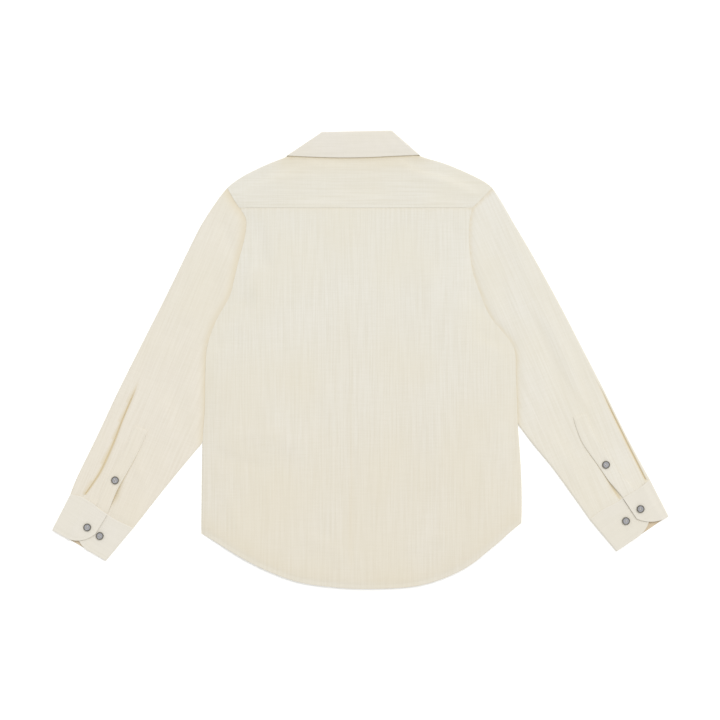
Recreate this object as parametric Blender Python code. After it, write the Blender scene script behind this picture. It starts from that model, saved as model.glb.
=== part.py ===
# Long-sleeve button-up shirt, laid flat with its back up.
# Metres, +Z up, +Y towards the collar, and the surface that it lies on is z = 0.
# The wearer's left is at -X. Every panel is a cloth wall over a plan outline.

import math

import bpy
import bmesh
from mathutils import Vector
from mathutils.geometry import delaunay_2d_cdt

# Cloth and layers
CLOTH = 0.0010            # wall of the body, yoke and sleeves
STIFF_CLOTH = 0.0015      # wall of the interlined collar leaf and cuffs
SEAM = 0.0003             # gap between two pieces
LAYER_GAP = 0.0003        # gap between two layers that lie on each other
SEAM_TOP = 2 * CLOTH + LAYER_GAP   # height of the back at its side, armhole and hem edges
BODY_RISE = 0.0037        # how much higher the middle of the back lies than its edges
BODY_SLOPE = 0.110        # width of the slope from a side edge to the middle
SEAM_STEP = 0.018         # distance between the points of a seam
NECK_STEP = 0.010
NECK_GAP = 0.0010         # between the stand and the pieces that it is sewn to
YOKE_FLAT = 0.012         # the yoke lies low for this width under the collar
YOKE_SLOPE = 0.014
CUT_UNIT = 0.001          # panels are cut in millimetres

# Middle of the front, which is underneath
FRONT_X = -0.005          # centre line of the button band
BAND_HALF = 0.017         # half the width of the button band
BAND_LOW = 0.0023         # the band lies on its buttons
BAND_REACH = 0.019        # the fronts lie as high as the band up to here from the centre line
BAND_SLOPE = 0.034        # over this width the fronts come down to the surface
LEFT_LAP = 0.013          # the left front passes the centre line by this much
FRONT_SHORTER = 0.006     # the front's hem is this much shorter than the back's
HEM_EASE = 0.10           # over this width from the side seam it gets so much shorter
CORNER_CLEAR = 0.006      # seam points closer than this to a front's edge are left out

# Space for the collar's wings under the fronts: an ellipse in plan
WING_CENTRE = (-0.008, 0.300)
WING_REACH = (0.108, 0.090)
WING_LIFT = 0.0020
WING_FULL = 1.12          # share of the reach to which the lift is full
WING_FADE = 0.40          # share of the reach in which it fades

# Collar
LEAF_LOW = 0.0050         # underside of the leaf over the back
STAND_BACK_LOW = 0.0033   # underside of the stand at the back of the neck
LEAF_TURN = 0.0026        # first point inside the leaf's turned sides
STAND_TURN = 0.0018
LAP_RISE = 0.0015         # the stand's front ends curve up by this much past the centre line

# Sleeves and cuffs
SLEEVE_THICK = 0.0036     # both layers and the air between them
SLEEVE_THIN = 0.0026      # the same beside the body, under the arm
FOLD_IN = 0.0016          # first point inside a fold of the sleeve
FOLD_MID = 0.0016         # height of a sleeve's folds
FOLD_STEP = 0.020         # distance between the points of a fold
FOLD_START = 0.003        # the layers join this far below the shoulder point
BODY_GAP = 0.0006         # between the sleeve's inner fold and the body's side edge
STRIP_WIDTH = 0.022
STRIP_ROWS = 6
PLEAT_DEPTH = 0.0011
PLEAT_HALF = 0.003
CUFF_FOLD_IN = 0.0024
CUFF_UNDER_LOW = 0.0021   # underside of the cuff's under lap
CUFF_OVER_LOW = 0.0039    # underside of the over lap where it lies on the under lap
CUFF_OVER_SINK = 0.0014   # how much lower it lies past the under lap's end
CUFF_SINK_FROM = 0.012    # it is at its lower height from this far past the under lap's end
CUFF_SINK_SLOPE = 0.010
CUFF_ROWS = 6
OVER_STEPS = 10
BELOW_STEPS = 8
UNDER_STEPS = 9
CUFF_GAP = 0.0006         # between sleeve and cuff
ARMHOLE_SLOPE = 0.014     # over this width the sleeve rises from the armhole

# Buttons
BUTTON_R = 0.00575
BUTTON_THICK = 0.0021
BUTTON_DISH = 0.0006
BUTTON_SIDES = 16
FRONT_BUTTON_Y = 0.222    # highest of the front buttons on the band
FRONT_BUTTON_STEP = 0.072
FRONT_BUTTONS = 7
STAND_BUTTON_Y = 0.2545

# Plan outlines. Each row is a point, columns x and y.
SHOULDER_LEFT = [(-0.1995, 0.2575), (-0.1890, 0.2665), (-0.1670, 0.2800), (-0.1375, 0.2935),
                 (-0.1088, 0.3036), (-0.0785, 0.3215)]
SHOULDER_RIGHT = [(0.1975, 0.2575), (0.1865, 0.2665), (0.1600, 0.2800), (0.1270, 0.2935),
                  (0.0885, 0.3036), (0.0650, 0.3195)]
NECK_BACK = [(-0.0785, 0.3215), (-0.0600, 0.3160), (-0.0340, 0.3125), (-0.0050, 0.3115),
             (0.0240, 0.3125), (0.0480, 0.3145), (0.0650, 0.3195)]
NECK_FRONT_LEFT = [(-0.0785, 0.3215), (-0.0735, 0.2900), (-0.0520, 0.2590), (-0.0280, 0.2450),
                   (-0.0050, 0.2410)]
NECK_FRONT_RIGHT = [(0.0650, 0.3195), (0.0620, 0.2900), (0.0410, 0.2590), (0.0180, 0.2450),
                    (-0.0050, 0.2410)]
YOKE_SEAM = [(-0.1818, 0.2280), (-0.0850, 0.2275), (0.0, 0.2275), (0.0850, 0.2275),
             (0.1680, 0.2280)]
ARMHOLE_LEFT = [(-0.1995, 0.2575), (-0.1905, 0.2415), (-0.1818, 0.2280)]
ARMHOLE_RIGHT = [(0.1975, 0.2575), (0.1825, 0.2420), (0.1680, 0.2280)]
SIDE_LEFT = [(-0.1818, 0.2280), (-0.1745, 0.2180), (-0.1709, 0.2080), (-0.1719, 0.1920),
             (-0.1755, 0.1740), (-0.1830, 0.1465),
             (-0.1895, 0.1195), (-0.1965, 0.0940), (-0.2160, 0.0590), (-0.2295, 0.0200),
             (-0.2325, -0.0230), (-0.2330, -0.0700), (-0.2355, -0.1055), (-0.2370, -0.1325),
             (-0.2380, -0.2135), (-0.2385, -0.2605)]
SIDE_RIGHT = [(0.1680, 0.2280), (0.1640, 0.2100), (0.1625, 0.1800), (0.1650, 0.1515),
              (0.1695, 0.1275), (0.1795, 0.0995), (0.1950, 0.0640), (0.2290, 0.0200),
              (0.2330, -0.0230), (0.2345, -0.0600), (0.2365, -0.1025), (0.2405, -0.1600),
              (0.2420, -0.2060), (0.2415, -0.2450)]
UNDERARM_Y = 0.020        # where each armhole ends and the side edge starts
HEM = [(-0.2385, -0.2605), (-0.2165, -0.2735), (-0.1925, -0.2885), (-0.1660, -0.3035),
       (-0.1345, -0.3185), (-0.0915, -0.3335), (-0.0390, -0.3410), (0.0070, -0.3433),
       (0.0690, -0.3410), (0.1075, -0.3335), (0.1455, -0.3185), (0.1705, -0.3035),
       (0.1890, -0.2885), (0.2075, -0.2735), (0.2240, -0.2585), (0.2415, -0.2450)]
FRONT_ARM_IN = 0.006      # the front's armhole is cut this much deeper than the back's

# Collar leaf: columns are the roll line's x, y and the outer edge's x, y.
LEAF_BACK = [(-0.0578, 0.3411, -0.1105, 0.3065), (-0.0400, 0.3414, -0.0800, 0.3040),
             (-0.0230, 0.3418, -0.0480, 0.3029), (-0.0050, 0.3421, -0.0180, 0.3026),
             (0.0130, 0.3425, 0.0150, 0.3032), (0.0300, 0.3428, 0.0480, 0.3048),
             (0.0474, 0.3432, 0.0895, 0.3072)]
WING_LEFT = [(-0.0080, 0.2680, -0.0620, 0.2280), (-0.0370, 0.2830, -0.0830, 0.2520),
             (-0.0530, 0.3110, -0.0985, 0.2800), (-0.0578, 0.3411, -0.1105, 0.3065)]
WING_RIGHT = [(-0.0020, 0.2680, 0.0520, 0.2280), (0.0260, 0.2830, 0.0670, 0.2520),
              (0.0420, 0.3110, 0.0790, 0.2800), (0.0474, 0.3432, 0.0895, 0.3072)]
# Stand: columns are the roll line's x, y and the neck seam's x, y.
STAND_BACK = [(-0.0553, 0.3385, -0.0785, 0.3225), (-0.0380, 0.3398, -0.0430, 0.3135),
              (-0.0050, 0.3404, -0.0050, 0.3115), (0.0280, 0.3412, 0.0340, 0.3130),
              (0.0450, 0.3405, 0.0650, 0.3205)]
STAND_FRONT_LEFT = [(-0.0553, 0.3385, -0.0785, 0.3225), (-0.0490, 0.3100, -0.0735, 0.2900),
                    (-0.0330, 0.2830, -0.0520, 0.2590), (-0.0050, 0.2690, -0.0050, 0.2410)]
STAND_FRONT_RIGHT = [(0.0450, 0.3405, 0.0650, 0.3205), (0.0385, 0.3100, 0.0620, 0.2900),
                     (0.0225, 0.2830, 0.0410, 0.2590), (-0.0050, 0.2690, -0.0050, 0.2410)]

# Sleeves. The cuff's own frame has its zero at the outer corner of the cuff's edge, "along"
# runs on that edge to the inner corner, and "deep" runs from the edge to the sleeve.
# Pleat and slit are lines in plan, from their upper ends to the cuff.
SLEEVES = {
    "left": {
        "outer": [(-0.2003, 0.2567), (-0.2140, 0.2395), (-0.2375, 0.2035), (-0.2560, 0.1675),
                  (-0.2910, 0.0955), (-0.3275, 0.0235), (-0.3635, -0.0485), (-0.3945, -0.1145),
                  (-0.4245, -0.1760), (-0.4346, -0.2015)],
        "inner": [(-0.2385, -0.1265), (-0.2550, -0.1460), (-0.2675, -0.1610),
                  (-0.2980, -0.1985), (-0.3408, -0.2530)],
        "crotch_y": -0.118,
        "pleat": [(-0.3310, -0.0270), (-0.3390, -0.0485), (-0.3565, -0.0895),
                  (-0.3700, -0.1245), (-0.3875, -0.1635), (-0.3980, -0.1810),
                  (-0.4120, -0.2010)],
        "slit": [(-0.3190, -0.1060), (-0.3310, -0.1340), (-0.3485, -0.1655),
                 (-0.3615, -0.1890), (-0.3712, -0.2090), (-0.3805, -0.2290)],
        "button": (-0.3672, -0.1805),
        "cuff": {"corner": (-0.4619, -0.2550), "turn": -29.92, "inward": 1,
                 "edge": 0.093, "seam_out": -0.003, "seam_in": 0.104,
                 "seam_deep": [(0.0, 0.060), (0.17, 0.0645), (0.33, 0.0645), (0.56, 0.0615),
                               (0.75, 0.060), (1.0, 0.062)],
                 "over_end": 0.0585, "over_from": 0.022, "over_round": 0.038,
                 "under_end": 0.033, "under_from": 0.061, "under_round": 0.030,
                 "buttons": [(0.0440, 0.0300), (0.0665, 0.0280)]},
    },
    "right": {
        "outer": [(0.1983, 0.2567), (0.2100, 0.2395), (0.2305, 0.2035), (0.2520, 0.1675),
                  (0.2920, 0.0955), (0.3295, 0.0235), (0.3665, -0.0485), (0.3990, -0.1145),
                  (0.4320, -0.1760), (0.4346, -0.1806)],
        "inner": [(0.2375, -0.0985), (0.2585, -0.1265), (0.2870, -0.1610),
                  (0.3145, -0.1985), (0.3436, -0.2396)],
        "crotch_y": -0.092,
        "pleat": [(0.3440, -0.0200), (0.3583, -0.0477), (0.3745, -0.0804), (0.3906, -0.1128),
                  (0.4066, -0.1453), (0.4207, -0.1769)],
        "slit": [(0.3185, -0.0860), (0.3310, -0.1220), (0.3550, -0.1570), (0.3740, -0.1850),
                 (0.3880, -0.2070)],
        "button": (0.3678, -0.1572),
        "cuff": {"corner": (0.4619, -0.2345), "turn": -145.98, "inward": -1,
                 "edge": 0.0944, "seam_out": -0.0075, "seam_in": 0.101,
                 "seam_deep": [(0.0, 0.060), (0.20, 0.0590), (0.42, 0.0602), (0.56, 0.0600),
                               (0.78, 0.0630), (1.0, 0.0620)],
                 "over_end": 0.042, "over_from": 0.0, "over_round": 0.049,
                 "under_end": 0.015, "under_from": 0.056, "under_round": 0.042,
                 "buttons": [(0.0290, 0.0330), (0.0570, 0.0300)]},
    },
}
# Largest soft folds of the upper layers. Columns: start x, y, end x, y, half width, height.
# A ridge has a positive height, and a trough a negative one.
FOLDS = [
    (-0.2860, 0.0820, -0.3385, -0.0450, 0.016, -0.0007),
    (-0.2550, 0.0590, -0.2800, 0.0150, 0.014, -0.0006),
    (-0.3000, -0.0600, -0.2850, -0.1350, 0.020, 0.0006),
    (-0.2050, 0.2150, -0.1850, 0.1500, 0.012, -0.0006),
    (0.2700, 0.0835, 0.3535, -0.0845, 0.018, 0.0007),
    (0.2550, 0.0700, 0.3100, -0.0550, 0.014, -0.0006),
    (0.3000, -0.0700, 0.3250, -0.1500, 0.020, -0.0006),
    (-0.2150, 0.0550, -0.1500, 0.0950, 0.022, -0.0008),
    (-0.1550, 0.2050, -0.1350, 0.1300, 0.020, -0.0006),
    (0.2050, 0.0600, 0.1500, 0.1100, 0.022, -0.0007),
    (0.1450, 0.2100, 0.1200, 0.1300, 0.022, -0.0006),
    (-0.2000, -0.1150, -0.0700, -0.1300, 0.024, 0.0006),
    (0.2150, -0.1300, 0.1750, -0.2500, 0.022, 0.0006),
]

def ease(share):
    """A smooth step from 0 to 1."""
    share = max(0.0, min(1.0, share))
    return share * share * (3 - 2 * share)


def mix(a, b, share):
    return a + (b - a) * share


def table_value(table, at):
    """Reads a two-column table between its rows."""
    for (x0, y0), (x1, y1) in zip(table, table[1:]):
        if at <= x1:
            return mix(y0, y1, ease((at - x0) / (x1 - x0)) if x1 > x0 else 0)
    return table[-1][1]


class Line:
    """A smooth plan curve through a few points, read by its share of length."""

    def __init__(self, points, steps=8):
        ends = [points[0], *points, points[-1]]
        self.points = []
        for a, b, c, d in zip(ends, ends[1:], ends[2:], ends[3:]):
            for k in range(steps):
                t = k / steps
                self.points.append(tuple(
                    0.5 * (2 * b[i] + (c[i] - a[i]) * t
                           + (2 * a[i] - 5 * b[i] + 4 * c[i] - d[i]) * t ** 2
                           + (3 * b[i] - a[i] - 3 * c[i] + d[i]) * t ** 3)
                    for i in range(len(b))))
        self.points.append(tuple(points[-1]))
        self.lengths = [0.0]
        for a, b in zip(self.points, self.points[1:]):
            self.lengths.append(self.lengths[-1] + math.dist(a[:2], b[:2]))

    def at(self, share):
        target = max(0.0, min(1.0, share)) * self.lengths[-1]
        for k in range(1, len(self.points)):
            if target <= self.lengths[k]:
                step = self.lengths[k] - self.lengths[k - 1]
                t = (target - self.lengths[k - 1]) / step if step else 0
                return tuple(mix(p, q, t) for p, q in zip(self.points[k - 1], self.points[k]))
        return self.points[-1]


def joined(*tables):
    """One outline from several that follow on each other."""
    points = list(tables[0])
    for table in tables[1:]:
        points += table[1:]
    return points


def moved_in(points, distance):
    """A plan line moved to its left-hand side by a distance, as it runs."""
    moved = []
    for k, (x, y) in enumerate(points):
        a, b = points[max(k - 1, 0)], points[min(k + 1, len(points) - 1)]
        length = math.dist(a, b)
        moved.append((x - (b[1] - a[1]) / length * distance,
                      y + (b[0] - a[0]) / length * distance))
    return moved


def fold_height(x, y):
    """The soft folds' height at a plan point."""
    total = 0.0
    for x0, y0, x1, y1, half, height in FOLDS:
        dx, dy = x1 - x0, y1 - y0
        length = math.hypot(dx, dy)
        along = ((x - x0) * dx + (y - y0) * dy) / length ** 2
        off = abs((x - x0) * dy - (y - y0) * dx) / length
        if -0.15 < along < 1.15 and off < 2 * half:
            ends = ease((along + 0.15) / 0.35) * ease((1.15 - along) / 0.35)
            total += height * ends * math.cos(math.pi / 4 * off / half) ** 2
    return total


def wing_lift(x, y):
    reach = math.hypot((x - WING_CENTRE[0]) / WING_REACH[0], (y - WING_CENTRE[1]) / WING_REACH[1])
    return WING_LIFT * (1 - ease((reach - WING_FULL) / WING_FADE))


def band_lift(x, height):
    """How high a front lies near the button band."""
    return height * (1 - ease((abs(x - FRONT_X) - BAND_REACH) / BAND_SLOPE))


def make_material(name, colour, roughness):
    material = bpy.data.materials.new(name)
    material.use_nodes = True
    shader = material.node_tree.nodes["Principled BSDF"]
    shader.inputs["Base Color"].default_value = (*colour, 1)
    shader.inputs["Roughness"].default_value = roughness
    shader.inputs["Metallic"].default_value = 0
    return material


CREAM = (0.80, 0.77, 0.67)
PALE_CREAM = (0.82, 0.80, 0.71)
SMOKED_PEARL = (0.30, 0.29, 0.27)


def add_object(name, bm, colour, roughness=0.85):
    bmesh.ops.recalc_face_normals(bm, faces=bm.faces[:])
    if bm.calc_volume(signed=True) < 0:
        bmesh.ops.reverse_faces(bm, faces=bm.faces[:])
    mesh = bpy.data.meshes.new(name)
    bm.to_mesh(mesh)
    bm.free()
    mesh.shade_smooth()
    mesh.set_sharp_from_angle(angle=math.radians(40))
    obj = bpy.data.objects.new(name, mesh)
    bpy.context.scene.collection.objects.link(obj)
    mesh.materials.append(make_material(name, colour, roughness))
    return obj


def make_wall(name, outer, inner, colour):
    """A closed cloth wall between an outer and an inner grid of points."""
    bm = bmesh.new()
    out, inn = [[[bm.verts.new(p) for p in row] for row in grid] for grid in (outer, inner)]
    rows, columns = len(outer), len(outer[0])
    for skin in (out, inn):
        for i in range(rows - 1):
            for j in range(columns - 1):
                bm.faces.new((skin[i][j], skin[i + 1][j], skin[i + 1][j + 1], skin[i][j + 1]))
    for i in (0, rows - 1):
        for j in range(columns - 1):
            bm.faces.new((out[i][j], out[i][j + 1], inn[i][j + 1], inn[i][j]))
    for j in (0, columns - 1):
        for i in range(rows - 1):
            bm.faces.new((out[i][j], inn[i][j], inn[i + 1][j], out[i + 1][j]))
    add_object(name, bm, colour)


def inside(point, outline):
    """Whether a plan point lies within a closed outline."""
    x, y = point
    within = False
    for (x0, y0), (x1, y1) in zip(outline, outline[1:] + outline[:1]):
        if (y0 > y) != (y1 > y) and x < x0 + (y - y0) / (y1 - y0) * (x1 - x0):
            within = not within
    return within


def distance_to(point, line):
    """Plan distance from a point to a line of points."""
    x, y = point
    best = 1.0
    for (x0, y0), (x1, y1) in zip(line, line[1:]):
        dx, dy = x1 - x0, y1 - y0
        t = max(0.0, min(1.0, ((x - x0) * dx + (y - y0) * dy) / (dx * dx + dy * dy)))
        best = min(best, math.hypot(x - x0 - t * dx, y - y0 - t * dy))
    return best


def cut_sheet(outline, guides, spacing):
    """Plan triangles that fill an outline, with edges along its guide lines and an even
    field of points between them."""
    points = list(outline)
    edges = []
    for guide in guides:
        edges += [(len(points) + k, len(points) + k + 1) for k in range(len(guide) - 1)]
        points += guide
    closed = outline + outline[:1]
    xs, ys = [p[0] for p in outline], [p[1] for p in outline]
    rows = int((max(ys) - min(ys)) / spacing) + 2
    columns = int((max(xs) - min(xs)) / spacing) + 2
    for i in range(rows):
        for j in range(columns):
            point = (min(xs) + (j + 0.5 * (i % 2)) * spacing, min(ys) + i * spacing)
            clear = min([distance_to(point, closed)] + [distance_to(point, g) for g in guides])
            if clear > 0.45 * spacing and inside(point, outline):
                points.append(point)
    found = delaunay_2d_cdt([Vector(p) / CUT_UNIT for p in points], edges,
                            [list(range(len(outline)))], 1, 1e-6)
    return [tuple(v * CUT_UNIT) for v in found[0]], found[2]


def make_panel(name, outline, guides, top_height, spacing=0.024, wall=CLOTH, colour=CREAM):
    """A panel whose upper face has a height for each plan point."""
    points, faces = cut_sheet(outline, guides, spacing)
    bm = bmesh.new()
    verts = [bm.verts.new((x, y, top_height(x, y))) for x, y in points]
    for face in faces:
        bm.faces.new([verts[k] for k in face])
    grown = bmesh.ops.extrude_face_region(bm, geom=bm.faces[:], use_keep_orig=True)
    under = [v for v in grown["geom"] if isinstance(v, bmesh.types.BMVert)]
    bmesh.ops.translate(bm, verts=under, vec=(0, 0, -wall))
    add_object(name, bm, colour)


def cut_line(points, step=SEAM_STEP):
    """A smooth line read at even steps, so that both pieces at a seam have the same corners."""
    line = Line(points)
    count = max(1, round(line.lengths[-1] / step))
    return [line.at(k / count) for k in range(count + 1)]


ARM_YOKE = {-1: cut_line(ARMHOLE_LEFT), 1: cut_line(ARMHOLE_RIGHT)}
SIDES = {-1: cut_line(SIDE_LEFT), 1: cut_line(SIDE_RIGHT)}
SHOULDERS = {-1: cut_line(SHOULDER_LEFT), 1: cut_line(SHOULDER_RIGHT)}
NECKS = {-1: cut_line(NECK_FRONT_LEFT, NECK_STEP), 1: cut_line(NECK_FRONT_RIGHT, NECK_STEP)}
NECK_BACK_LINE = cut_line(NECK_BACK, NECK_STEP)
YOKE_TOP_LINE = joined(SHOULDERS[-1], NECK_BACK_LINE, list(reversed(SHOULDERS[1])))
YOKE_LINE = cut_line(YOKE_SEAM)
HEM_LINE = cut_line(HEM)


def armhole_and_side(side):
    return joined(ARM_YOKE[side], SIDES[side])


def body_rise(x, y):
    """The back rises quickly from its side edges and is nearly level in the middle."""
    near = min(distance_to((x, y), armhole_and_side(side)) for side in (-1, 1))
    return BODY_RISE * (1 - (1 - min(1, near / BODY_SLOPE)) ** 3)


def back_top(x, y):
    rise = body_rise(x, y)
    folds = fold_height(x, y) * min(1, 2 * rise / BODY_RISE)
    return SEAM_TOP + math.hypot(rise, wing_lift(x, y)) + folds


def yoke_top(x, y):
    """The yoke lies low along the shoulders and the neck seam, for the collar to lie on it."""
    share = ease((distance_to((x, y), YOKE_TOP_LINE) - YOKE_FLAT) / YOKE_SLOPE)
    return SEAM_TOP + math.hypot(body_rise(x, y) * share, wing_lift(x, y))


def shrunk(line, distance, x_from=-1, x_to=1):
    """A guide line beside another, without its ends."""
    return [p for p in moved_in(line, distance)[1:-1] if x_from < p[0] < x_to]


def build_back():
    top = [(x, y - SEAM / 2) for x, y in YOKE_LINE]
    left, right = SIDES[-1][1:], SIDES[1][1:]
    outline = [*top, *right, *reversed(HEM_LINE[1:-1]), *reversed(left)]
    guides = [shrunk(left, 0.005), shrunk(left, 0.020), shrunk(right, -0.005),
              shrunk(right, -0.020), [(FRONT_X, 0.20), (FRONT_X, -0.32)]]
    make_panel("back", outline, guides, back_top)


def build_yoke():
    low = [(x, y + SEAM / 2) for x, y in YOKE_LINE]
    neck = [(x, y - NECK_GAP) for x, y in NECK_BACK_LINE]
    outline = [*SHOULDERS[-1][:-1], *neck, *reversed(SHOULDERS[1][:-1]),
               *ARM_YOKE[1][1:-1], *reversed(low), *reversed(ARM_YOKE[-1][1:-1])]
    guides = [shrunk(YOKE_TOP_LINE, -(YOKE_FLAT + share * YOKE_SLOPE)) for share in (0, 0.5, 1)]
    guides = [[p for p in guide if abs(p[0] - FRONT_X) < 0.15] for guide in guides]
    make_panel("yoke", outline, guides, yoke_top, spacing=0.020)


def front_armhole(side):
    """The front's armhole and side edge, with the armhole cut deeper than the back's."""
    points = armhole_and_side(side)
    top_y, span = points[0][1], points[0][1] - UNDERARM_Y
    return [(x - side * FRONT_ARM_IN * math.sin(math.pi * min(1, (top_y - y) / span)), y)
            for x, y in points]


def height_on(line, x):
    """The y of a plan line at an x."""
    for (x0, y0), (x1, y1) in zip(line, line[1:]):
        if min(x0, x1) <= x <= max(x0, x1) and x0 != x1:
            return mix(y0, y1, (x - x0) / (x1 - x0))
    return line[-1][1]


def front_hem_y(x):
    return height_on(HEM_LINE, x) + FRONT_SHORTER


def front_neck_y(x):
    return height_on([*NECKS[-1], *reversed(NECKS[1])], x) - NECK_GAP


def build_front(name, side, edge_x, lift_height):
    """One front, from its armhole to its front edge."""
    neck = moved_in(NECKS[side], side * NECK_GAP)
    if side * (edge_x - FRONT_X) < 0:
        neck += list(reversed(moved_in(NECKS[-side], -side * NECK_GAP)))
    neck = [p for p in neck if side * (p[0] - edge_x) > CORNER_CLEAR]
    corner = HEM_LINE[0] if side < 0 else HEM_LINE[-1]
    hem = [(x, y + FRONT_SHORTER * ease(abs(x - corner[0]) / HEM_EASE)) for x, y in HEM_LINE[1:-1]
           if side * (x - edge_x) > CORNER_CLEAR]
    if side < 0:
        hem = hem[::-1]
    edge = [(edge_x, mix(front_hem_y(edge_x), front_neck_y(edge_x), k / 12)) for k in range(13)]
    arm = front_armhole(side)
    outline = [*reversed(SHOULDERS[side][:-1]), *arm[1:], *reversed(hem), *edge,
               *reversed(neck[1:])]
    slope = [FRONT_X + side * (BAND_REACH + share * BAND_SLOPE) for share in (0, 0.5, 1)]
    guides = [[(x, front_hem_y(x) + 0.010), (x, FRONT_BUTTON_Y - 0.040)] for x in slope]

    def top_height(x, y):
        return max(wing_lift(x, y), band_lift(x, lift_height)) + CLOTH

    make_panel(name, outline, guides, top_height, spacing=0.030)


def build_band():
    xs = [FRONT_X + BAND_HALF * share for share in (-1, -0.33, 0.33, 1)]
    top = [(x, front_neck_y(x)) for x in xs]
    bottom = [(x, front_hem_y(x)) for x in xs]
    left = [tuple(mix(a, b, k / 12) for a, b in zip(top[0], bottom[0])) for k in range(1, 12)]
    right = [tuple(mix(a, b, k / 12) for a, b in zip(top[-1], bottom[-1])) for k in range(1, 12)]
    outline = [*top, *right, *reversed(bottom), *reversed(left)]
    make_panel("front_band", outline, [], lambda x, y: BAND_LOW + CLOTH, spacing=0.5,
               colour=PALE_CREAM)


def strip_between(rows, count, finer=4):
    """Evenly spaced crossings of a table whose columns are two x, y points."""
    line_a = Line([r[:2] for r in rows], finer)
    line_b = Line([r[2:] for r in rows], finer)
    return [(line_a.at(k / count), line_b.at(k / count)) for k in range(count + 1)]


def turned_strip(name, stations, wall, steps, colour):
    """A band that goes round both sides of the neck. Each station is its two plan ends, the
    height of its outer face and which way that face looks: up, down or out at a turned side."""
    outer, inner = [], []
    for (roll, edge), z, look in stations:
        row_out, row_in = [], []
        for k in range(steps + 1):
            x, y = (mix(roll[i], edge[i], k / steps) for i in (0, 1))
            row_out.append((x, y, z))
            if look == 0:
                dx, dy = edge[0] - roll[0], edge[1] - roll[1]
                length = math.hypot(dx, dy)
                towards = 1 if x < WING_CENTRE[0] else -1
                row_in.append((x - towards * dy / length * wall, y + towards * dx / length * wall,
                               z))
            else:
                row_in.append((x, y, z - look * wall))
        outer.append(row_out)
        inner.append(row_in)
    make_wall(name, outer, inner, colour)


def beside(station, other, distance):
    """A crossing a set distance from a turned side, towards another crossing."""
    ends = []
    for a, b in zip(station, other):
        length = math.dist(a, b)
        ends.append(tuple(mix(p, q, min(1, distance / length)) for p, q in zip(a, b)))
    return tuple(ends)


def around_neck(left, back, right, counts, heights, turn_in):
    """Stations from the left end, round the back of the neck, to the right end."""
    low_left, high, low_right = heights
    first = strip_between(left, counts[0])
    over = strip_between(back, counts[1])
    last = strip_between(list(reversed(right)), counts[0])
    middle = [(low_left[1] + high) / 2, (low_right[1] + high) / 2]
    stations = [(s, mix(low_left[0], low_left[1], ease(3 * k / counts[0] - 1)), -1)
                for k, s in enumerate(first[:-1])]
    stations += [(beside(first[-1], first[-2], turn_in), low_left[1], -1),
                 (over[0], middle[0], 0),
                 (beside(over[0], over[1], turn_in), high, 1)]
    stations += [(s, high, 1) for s in over[1:-1]]
    stations += [(beside(over[-1], over[-2], turn_in), high, 1),
                 (over[-1], middle[1], 0),
                 (beside(last[0], last[1], turn_in), low_right[1], -1)]
    stations += [(s, mix(low_right[1], low_right[0], ease(1.5 * k / counts[0] - 0.5)), -1)
                 for k, s in enumerate(last[1:], 1)]
    return stations


def build_collar():
    heights = ((0.0, 0.0), LEAF_LOW + STIFF_CLOTH, (0.0, 0.0))
    stations = around_neck(WING_LEFT, LEAF_BACK, WING_RIGHT, (5, 12), heights, LEAF_TURN)
    turned_strip("collar_leaf", stations, STIFF_CLOTH, 4, PALE_CREAM)
    left_low = BAND_LOW + CLOTH + LAYER_GAP
    side_low = STIFF_CLOTH + LAYER_GAP
    heights = ((left_low, side_low), STAND_BACK_LOW + CLOTH, (BAND_LOW, side_low))
    lap_left = lapped(list(reversed(STAND_FRONT_LEFT)), LEFT_LAP)
    lap_right = lapped(list(reversed(STAND_FRONT_RIGHT)), -LEFT_LAP)
    stations = around_neck(lap_left, STAND_BACK, lap_right, (6, 8), heights, STAND_TURN)
    turned_strip("collar_stand", stations, CLOTH, 2, PALE_CREAM)


def lapped(rows, lap):
    """The stand's front end, drawn past the centre line by its lap."""
    x0, y0, x1, y1 = rows[0]
    return [(x0 + lap, y0 + LAP_RISE, x1 + lap, y1 + LAP_RISE), *rows]


def along_seam(cuff, across):
    """Where a share of the cuff's width lies at its seam: the cuff flares at its two folds."""
    edge = cuff["edge"]
    return across * edge + cuff["seam_out"] * (1 - across) ** 4 \
        + (cuff["seam_in"] - edge) * across ** 4


def cuff_place(cuff, along, deep):
    """Plan point in the cuff's own frame."""
    turn = math.radians(cuff["turn"])
    return (cuff["corner"][0] + along * math.cos(turn) - deep * math.sin(turn) * cuff["inward"],
            cuff["corner"][1] + along * math.sin(turn) + deep * math.cos(turn) * cuff["inward"])


def cuff_point(cuff, across, deep_share, deep_from):
    """Plan point of a cuff: a share of its width, and a share from its edge to its seam."""
    seam_deep = table_value(cuff["seam_deep"], across) - CUFF_GAP
    deep = mix(deep_from, seam_deep, deep_share)
    along = mix(across * cuff["edge"], along_seam(cuff, across), deep / seam_deep)
    return cuff_place(cuff, along, deep)


def seam_point(cuff, across, above=0.0):
    """Plan point of the seam between sleeve and cuff, on the sleeve's side of the gap."""
    return cuff_place(cuff, along_seam(cuff, across),
                      table_value(cuff["seam_deep"], across) + above)


def round_corner(along, start, radius, outward):
    """How far a rounded corner has left the cuff's edge."""
    off = (along - start) * outward
    if off <= 0:
        return 0.0
    return radius - math.sqrt(max(0.0, radius ** 2 - min(off, radius) ** 2))


def cuff_over_height(cuff, along):
    """Upper face of the over lap, which lies lower where the under lap has ended."""
    past = along - cuff["under_end"] + CUFF_SINK_FROM
    return CUFF_OVER_LOW + STIFF_CLOTH - CUFF_OVER_SINK * (1 - ease(past / CUFF_SINK_SLOPE))


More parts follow.
